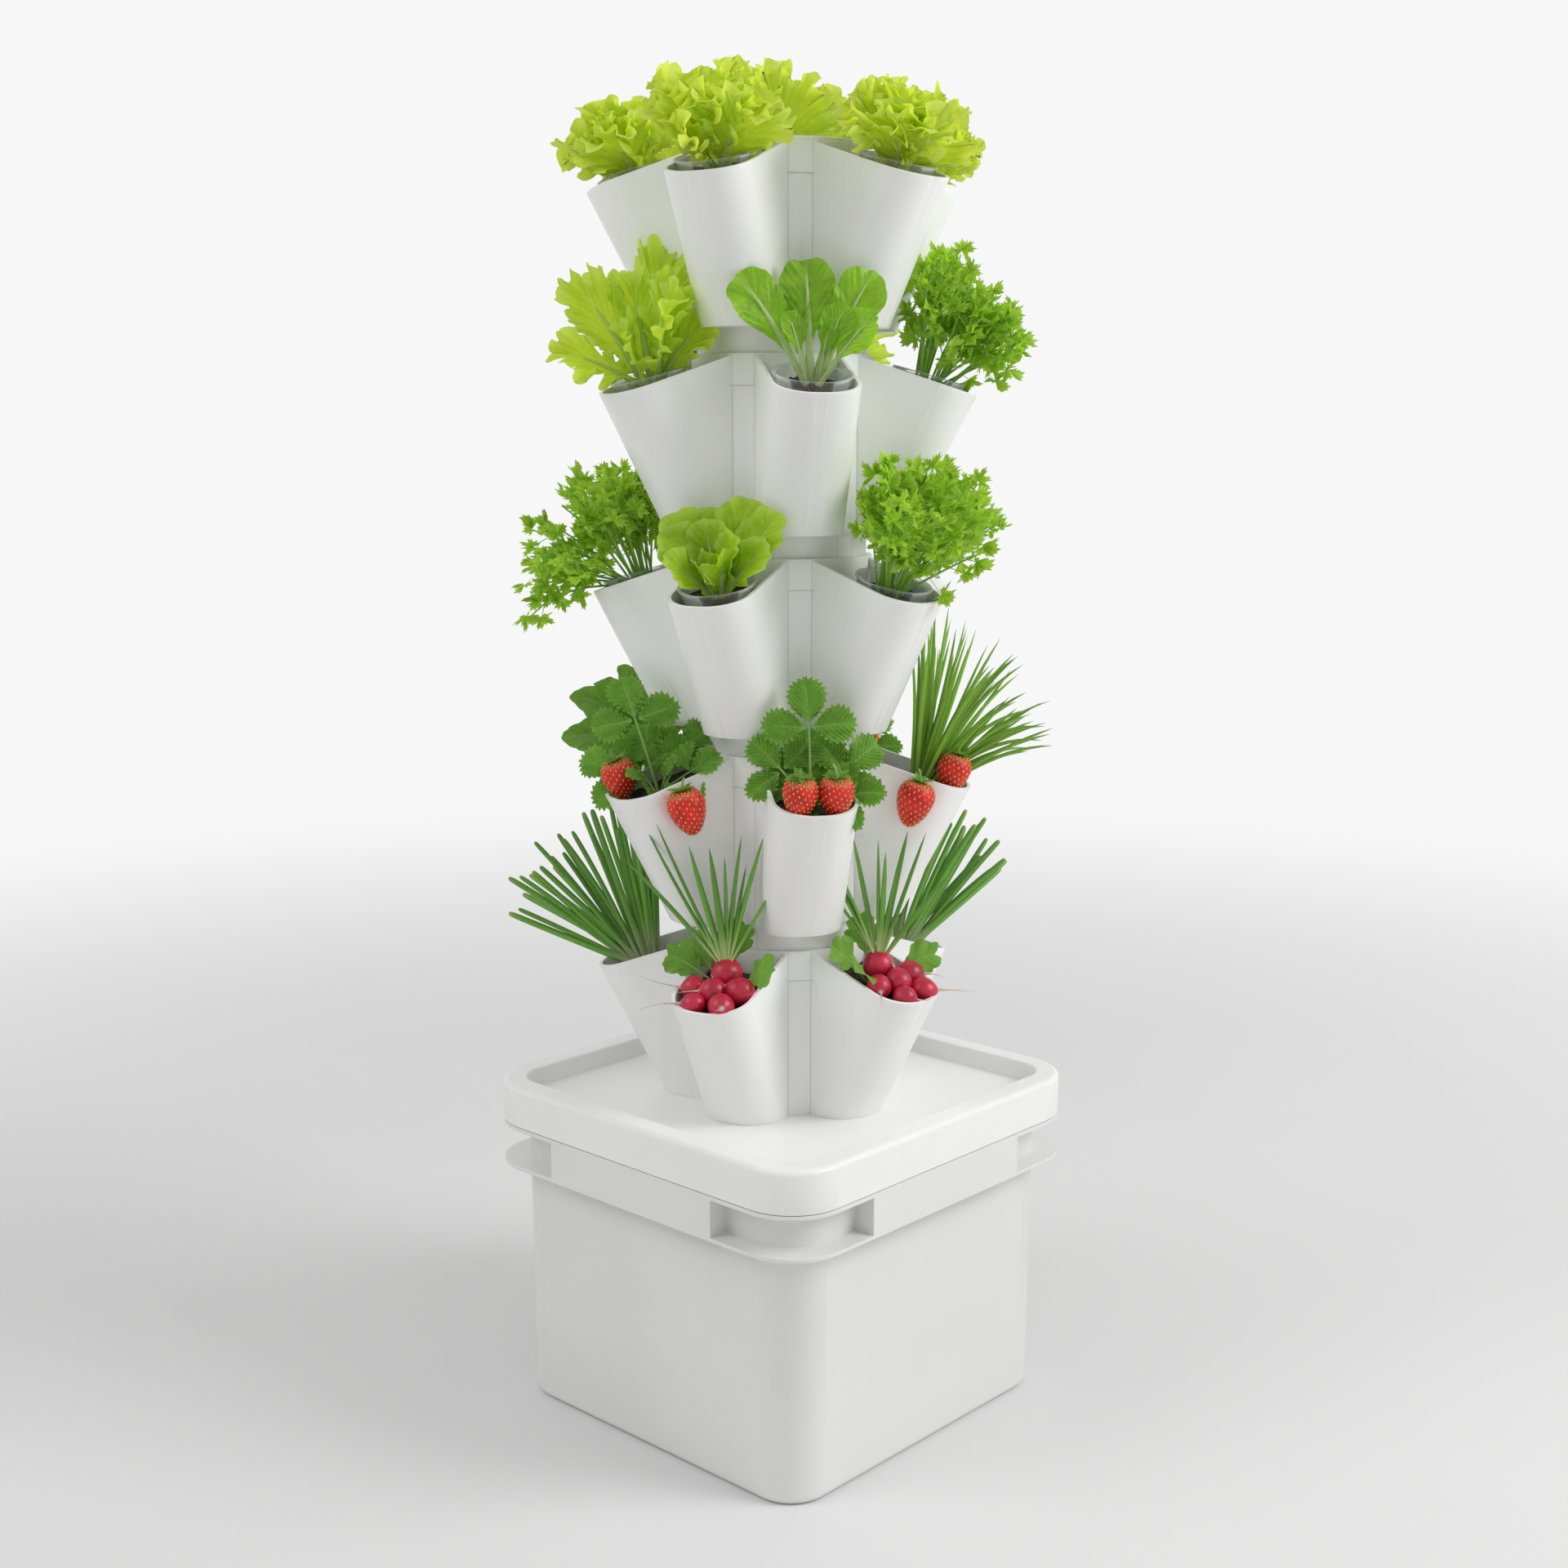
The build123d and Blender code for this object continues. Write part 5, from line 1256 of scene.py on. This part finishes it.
def bed_outline(sizes, z, count=15):
    """The edge of the growing medium at one height of a tier, round the pocket and along the column."""
    half = sizes.pocket_width / 2
    reach = sizes.pocket_foot + sizes.pocket_lean * z
    corner = 0.0252 - 0.0104 * z
    turns = np.linspace(0, math.pi / 2, count)
    bend_x = reach - corner + corner * np.sin(turns)
    bend_y = half - corner + corner * np.cos(turns)
    radius = sizes.column_radius
    swing = math.asin(half / radius)
    column = np.linspace(-swing, swing, 2 * count)
    x = np.r_[radius * math.cos(swing), bend_x, bend_x[::-1], radius * np.cos(column)]
    y = np.r_[half, bend_y, -bend_y[::-1], radius * np.sin(column)]
    return np.column_stack([x, y])


class TOWER_OT_beds(PotWork, bpy.types.Operator):
    """Growing medium that fills the pockets without cups"""

    bl_idname = "tower.beds"
    bl_label = "Beds"

    def execute(self, context):
        colours, sizes = context.scene.tower_colours, context.scene.tower_sizes
        soil = damp_soil("bed_soil", colours.soil)
        for pot in pots_in(BED_TIERS):
            self.bed(sizes, pot, soil)
        return {"FINISHED"}

    def bed(self, sizes, pot, soil):
        rng = pot_random(500, pot, step=10)
        level = hills(rng, 0.0012)
        lip_z = sizes.tier_height - sizes.pot_drop

        def plane(x, drop):
            """Heights on a plane across the pot's axis, some way under its lip."""
            return lip_z - drop / math.cos(sizes.pot_tilt) - (x - sizes.pot_reach) * math.tan(sizes.pot_tilt)

        def cut(drop):
            """The edge where such a plane cuts the pocket."""
            ring = bed_outline(sizes, lip_z - drop)
            for _ in range(4):
                heights = plane(ring[:, 0], drop)
                ring = np.array([bed_outline(sizes, height)[k] for k, height in enumerate(heights)])
            return np.column_stack([ring, heights])

        def on_soil(x, y):
            x, y = sizes.pot_reach + x, 0.8 * y
            return x, y, plane(x, sizes.bed_soil) + level(x, y)

        top = cut(sizes.bed_soil)
        low = cut(sizes.cup_height - 0.0005)
        centre, foot = top.mean(axis=0), low.mean(axis=0)
        inner = [centre + (top - centre) * share for share in (0.94, 0.82, 0.68, 0.54, 0.4, 0.26, 0.12, 0.01)]
        rings = [foot + (low - foot) * 0.02, low, top, *inner]
        points = np.vstack(rings)
        rough = points[3 * len(top):]
        rough[:, 2] += level(rough[:, 0], rough[:, 1])
        grown = Growth()
        grown.add(points, lattice(len(rings), len(top), True), np.zeros_like(points))
        crumbs(grown, rng, 110, 0.029, 0.0021, on_soil)
        upright = Matrix.Rotation(-sizes.pot_tilt, 4, "Y") @ Matrix.Translation((-sizes.pot_reach, 0, -lip_z))
        place = pot_frame(sizes, pot) @ upright
        grown.piece(f"soil_{pot}", f"pot_{pot}", place, [soil])


class TOWER_OT_lettuce(PotWork, bpy.types.Operator):
    """Frilly, wavy and butter lettuce"""

    bl_idname = "tower.lettuce"
    bl_label = "Lettuce"

    def execute(self, context):
        colours = context.scene.tower_colours
        frilly = leaf_finish("frilly_leaf", colours.frilly, 7, (0.62, 0.74, 0.30), 0.75, 0.45, 0.0016, 1.4,
                             deep=0.78, through=0.46)
        self.plant(context, "curly_lettuce", frilly_lettuce, [frilly], "lettuce_green", seed=11)
        wavy = leaf_finish("wavy_leaf", colours.wavy, 8, (0.60, 0.70, 0.30), 0.60, 0.75, 0.0018, 1.3,
                           deep=0.72, through=0.44)
        self.plant(context, "leaf_lettuce", wavy_lettuce, [wavy], "lettuce_green", seed=23)
        butter = leaf_finish("butter_leaf", colours.butter, 7, (0.58, 0.70, 0.28), 0.30, 0.55, 0.0013, 1.2)
        self.plant(context, "butter_lettuce", butter_lettuce, [butter], "lettuce_green", seed=37)
        return {"FINISHED"}


class TOWER_OT_greens(PotWork, bpy.types.Operator):
    """Chard, spinach and parsley"""

    bl_idname = "tower.greens"
    bl_label = "Greens"

    def execute(self, context):
        colours = context.scene.tower_colours
        chard = leaf_finish("chard_leaf", colours.chard, 8, (0.62, 0.70, 0.36), 0.05, 0.8, 0.0018, 1.1,
                            gloss=0.30, deep=0.42)
        self.plant(context, "chard", chard_bunch, [chard], "leaf_green", seed=41)
        spinach = leaf_finish("spinach_leaf", colours.spinach, 7, colours.stalk, 0.05, 0.6, 0.0014, 1.1,
                              gloss=0.34, deep=0.45)
        self.plant(context, "spinach", spinach_leaves, [spinach], "leaf_green", seed=53)
        parsley = leaf_finish("parsley_leaf", colours.parsley, 3, (0.40, 0.58, 0.16), 0.35, 0.1, 0.0006, 1.0,
                              gloss=0.40, deep=0.50, through=0.42)
        self.plant(context, "parsley", parsley_bunch, [parsley], "leaf_green", seed=61)
        return {"FINISHED"}


class TOWER_OT_blades(PotWork, bpy.types.Operator):
    """Chives, onions and the radishes' tops"""

    bl_idname = "tower.blades"
    bl_label = "Chives, onions, radish tops"

    def execute(self, context):
        colours = context.scene.tower_colours
        chive = blade_finish("chive_blade", colours.blade, towards(colours.blade, colours.stalk, 0.5), 0.25)
        self.plant(context, "chives", chives_bunch, [chive], "blade_green", seed=71)
        onion = blade_finish("onion_blade", colours.onion, (0.52, 0.62, 0.34), 0.30)
        self.plant(context, "onion", onion_bunch, [onion], "blade_green", seed=83)
        lobed = leaf_finish("radish_leaf", colours.spinach, 5, colours.stalk, 0.05, 0.4, 0.0008, 1.0,
                            gloss=0.45)
        blade = blade_finish("radish_blade", colours.onion, (0.50, 0.62, 0.24), 0.35)
        self.plant(context, "radish", radish_tops, [lobed, blade], "blade_green", seed=97)
        return {"FINISHED"}


class TOWER_OT_strawberries(PotWork, bpy.types.Operator):
    """Strawberry leaves and fruit"""

    bl_idname = "tower.strawberries"
    bl_label = "Strawberries"

    def execute(self, context):
        colours, sizes = context.scene.tower_colours, context.scene.tower_sizes
        green = leaf_finish("strawberry_leaf", colours.strawberry, 8, (0.42, 0.62, 0.22), 0.15, 0.75, 0.0018,
                            1.0, deep=0.42)
        self.plant(context, "strawberry", strawberry_leaves, [green], "leaf_green", seed=101)
        skin = berry_skin("berry_skin", colours.berry)
        seeds = seed_skin("berry_seeds", colours.seed)
        for pot in ("4a", "4b", "4d", "4e"):
            rng = pot_random(130, pot)
            fruit = Growth()
            for top, grow in self.places(sizes, pot):
                self.berry(fruit, rng, sizes.berry_radius * grow, sizes.berry_length * grow, np.array(top))
            place = soil_frame(sizes, pot)
            made = fruit.piece(f"berries_{pot}", f"pot_{pot}", place, [skin, seeds, green])
            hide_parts(f"strawberries_{pot}")
        return {"FINISHED"}

    def places(self, sizes, pot):
        """Tops of a pot's berries over its soil, and how large each is; a hanging one is larger."""
        front = 0.0206
        aside = sizes.berry_radius + 0.0002
        over = 0.0447
        top = sizes.berry_length
        if pot == "4a":
            return ((front, -aside, top), 1.0), ((0, -over, 0.009), 1.1)
        if pot == "4d":
            return ((front, -aside, top), 1.0), ((0, over, 0.009), 1.1)
        return ((front, aside, top), 1.0), ((front, -aside, top), 1.0)

    def berry(self, fruit, rng, radius, length, top):
        """One berry: pitted flesh, a seed in each pit, a ring of sepals and a stalk."""
        knots = (
            (0, 0), (0.62, -0.015), (0.93, -0.16), (1.0, -0.36), (0.80, -0.65), (0.42, -0.90), (0, -1.0)
        )
        rows, sides, seeds = 56, 80, 190
        profile = smooth_line(knots, rows)
        girth = np.abs(profile[:, 0]) + 0.02
        area = np.r_[0, np.cumsum((girth[1:] + girth[:-1]) / 2)]
        row = np.interp(np.linspace(0.06, 0.985, seeds) * area[-1], area, np.arange(rows))
        seed_r = np.interp(row, np.arange(rows), profile[:, 0]) * radius
        seed_z = np.interp(row, np.arange(rows), profile[:, 1]) * length
        turns = np.arange(seeds) * math.radians(137.508) + rng.uniform(0, 6)
        spots = np.column_stack([seed_r * np.cos(turns), seed_r * np.sin(turns), seed_z])
        points = spun(profile * (radius, length), sides)
        apart = np.sqrt(((points[:, None, :] - spots[None]) ** 2).sum(axis=2)).min(axis=1)
        pit = np.exp(-((apart / 0.0009) ** 2))
        flesh = np.array([0, 0, -0.42 * length])
        inward = flesh - points
        inward = inward / np.linalg.norm(inward, axis=1)[:, None]
        points = points + inward * (0.00055 * pit)[:, None]
        # The third mark is the pit depth; it also steers the painted shade in the pits.
        marks = np.column_stack([np.zeros(len(points)), np.repeat(-profile[:, 1], sides), pit])
        fruit.add(points + top, lattice(rows, sides, True), marks)
        for spot in spots:
            out = spot - flesh
            centre = spot - out / np.linalg.norm(out) * 0.00035 + top
            lump(fruit, centre, (0.00064, 0.00064, 0.00102), 0.5, 1, 6)
        part = Growth()
        for index in range(9):
            azimuth = index * FULL_TURN / 9 + rng.normal(0, 0.1)
            reach = rng.uniform(0.009, 0.013)
            spine = Spine(reach, math.radians(rng.uniform(60, 85)), math.radians(rng.uniform(-25, 45)), 1.2)
            leaf(part, rng, spine, azimuth, 0.0008, LANCE, reach, 0.0052, 0.0, rings=4, count=9, fold=0.2,
                 slot=2)
        stem = Spine(0.010, math.radians(12), 0.5)
        stalk(part, stem, rng.uniform(0, 6), 0.0, [0.0009, 0.0008, 0.0008, 0.0009], 1.0, 6, 1.0, 2)
        fruit.join(part, top + (0, 0, 0.0004))


class TOWER_OT_radishes(PotWork, bpy.types.Operator):
    """Heaps of radishes with their root tails"""

    bl_idname = "tower.radishes"
    bl_label = "Radishes"

    def execute(self, context):
        colours, sizes = context.scene.tower_colours, context.scene.tower_sizes
        stage = context.scene.tower_stage
        skin = radish_skin("radish_skin", colours.radish, (0.80, 0.62, 0.56))
        root = root_skin("root_tails", colours.root)
        usual = sizes.radish_radius
        spots = (
            (0.0232, 0.0116, 0.0092, 1.0),
            (0.0240, -0.0100, 0.0086, 0.88),
            (0.0040, 0.0178, 0.0112, 1.06),
            (0.0056, -0.0182, 0.0098, 0.94),
            (0.0090, -0.0010, 0.0120, 1.02),
            (-0.0125, 0.0, 0.0142, 1.18),
        )
        for pot in ("5a", "5c", "5e"):
            rng = pot_random(170, pot)
            front = pot_front(stage, pot)
            side = front - math.copysign(math.pi / 2, front)
            heap = Growth()
            for x, y, z, grow in spots:
                outermost = x * math.cos(side) + y * math.sin(side) > 0.016
                self.radish(heap, rng, (x, y, z), usual * grow, side if outermost else None)
            place = soil_frame(sizes, pot)
            made = heap.piece(f"radish_heap_{pot}", f"pot_{pot}", place, [skin, root])
            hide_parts(f"radishes_{pot}")
        return {"FINISHED"}

    def radish(self, heap, rng, centre, radius, side):
        """One radish: slightly uneven, drawn out to a root tail, which hangs out where a side is given."""
        axis = Vector((rng.uniform(-0.4, 1.0), rng.normal(0, 0.8), rng.uniform(-0.3, 0.5))).normalized()
        if side is not None:
            axis = Vector((math.cos(side), math.sin(side), 0.25)).normalized()
        rows, sides = 26, 36
        polar = np.linspace(0, math.pi, rows)
        shape = 1 + 0.03 * np.cos(2 * polar) + 0.09 * np.exp(-((math.pi - polar) / 0.30) ** 2)
        shape = shape - 0.06 * np.exp(-(polar / 0.3) ** 2)
        points = spun(np.column_stack([shape * np.sin(polar), -shape * np.cos(polar)]), sides) * radius
        runs = rng.normal(0, 150, (4, 3))
        dent = sum(np.sin(points @ run + start) for run, start in zip(runs, rng.uniform(0, 6, 4)))
        points = points * (1 + 0.008 * dent[:, None])
        turned = np.array(Vector((0, 0, 1)).rotation_difference(axis).to_matrix())
        marks = np.zeros_like(points)
        marks[:, 1] = np.repeat(polar / math.pi, sides)
        body = Growth()
        body.add(points, lattice(rows, sides, True), marks, rng.uniform())
        length = rng.uniform(0.012, 0.018) if side is None else 0.034
        spine = Spine(length, rng.uniform(-0.3, 0.3), rng.uniform(0.5, 1.3), 1.5)
        thick = 0.001 * np.array([1.4, 0.8, 0.55, 0.42, 0.34, 0.27, 0.2, 0.08])
        tail, faces, marks = tube(spine, rng.uniform(0, 6), 0.0, thick)
        body.add(tail + np.array([0, 0, 1.02 * radius]), faces, marks, 0.5, 1)
        heap.join(body, centre, turned)


class TOWER_PT_sidebar(bpy.types.Panel):
    """Lists the tower's operators and settings"""

    bl_idname = "TOWER_PT_sidebar"
    bl_label = "Tower"
    bl_space_type = "VIEW_3D"
    bl_region_type = "UI"
    bl_category = "Tower"

    def draw(self, context):
        column = self.layout.column()
        for operator in OPERATORS:
            column.operator(operator.bl_idname)
        for group in (context.scene.tower_sizes, context.scene.tower_colours, context.scene.tower_stage):
            box = self.layout.box()
            for name in group.bl_rna.properties.keys():
                if name not in ("name", "rna_type"):
                    box.prop(group, name)


GROUPS = {"tower_sizes": TowerSizes, "tower_colours": TowerColours, "tower_stage": TowerStage}
OPERATORS = (
    TOWER_OT_stage,
    TOWER_OT_shell,
    TOWER_OT_waterworks,
    TOWER_OT_cups,
    TOWER_OT_beds,
    TOWER_OT_lettuce,
    TOWER_OT_greens,
    TOWER_OT_blades,
    TOWER_OT_strawberries,
    TOWER_OT_radishes,
)


def register():
    for name, group in GROUPS.items():
        bpy.utils.register_class(group)
        setattr(bpy.types.Scene, name, PointerProperty(type=group))
    for made in (*OPERATORS, TOWER_PT_sidebar):
        bpy.utils.register_class(made)


def unregister():
    for made in (TOWER_PT_sidebar, *reversed(OPERATORS)):
        bpy.utils.unregister_class(made)
    for name, group in GROUPS.items():
        delattr(bpy.types.Scene, name)
        bpy.utils.unregister_class(group)


def main():
    register()
    bpy.ops.tower.stage()
    bpy.ops.tower.shell()
    bpy.ops.tower.waterworks()
    bpy.ops.tower.cups()
    bpy.ops.tower.beds()
    bpy.ops.tower.lettuce()
    bpy.ops.tower.greens()
    bpy.ops.tower.blades()
    bpy.ops.tower.strawberries()
    bpy.ops.tower.radishes()


if __name__ == "__main__":
    main()
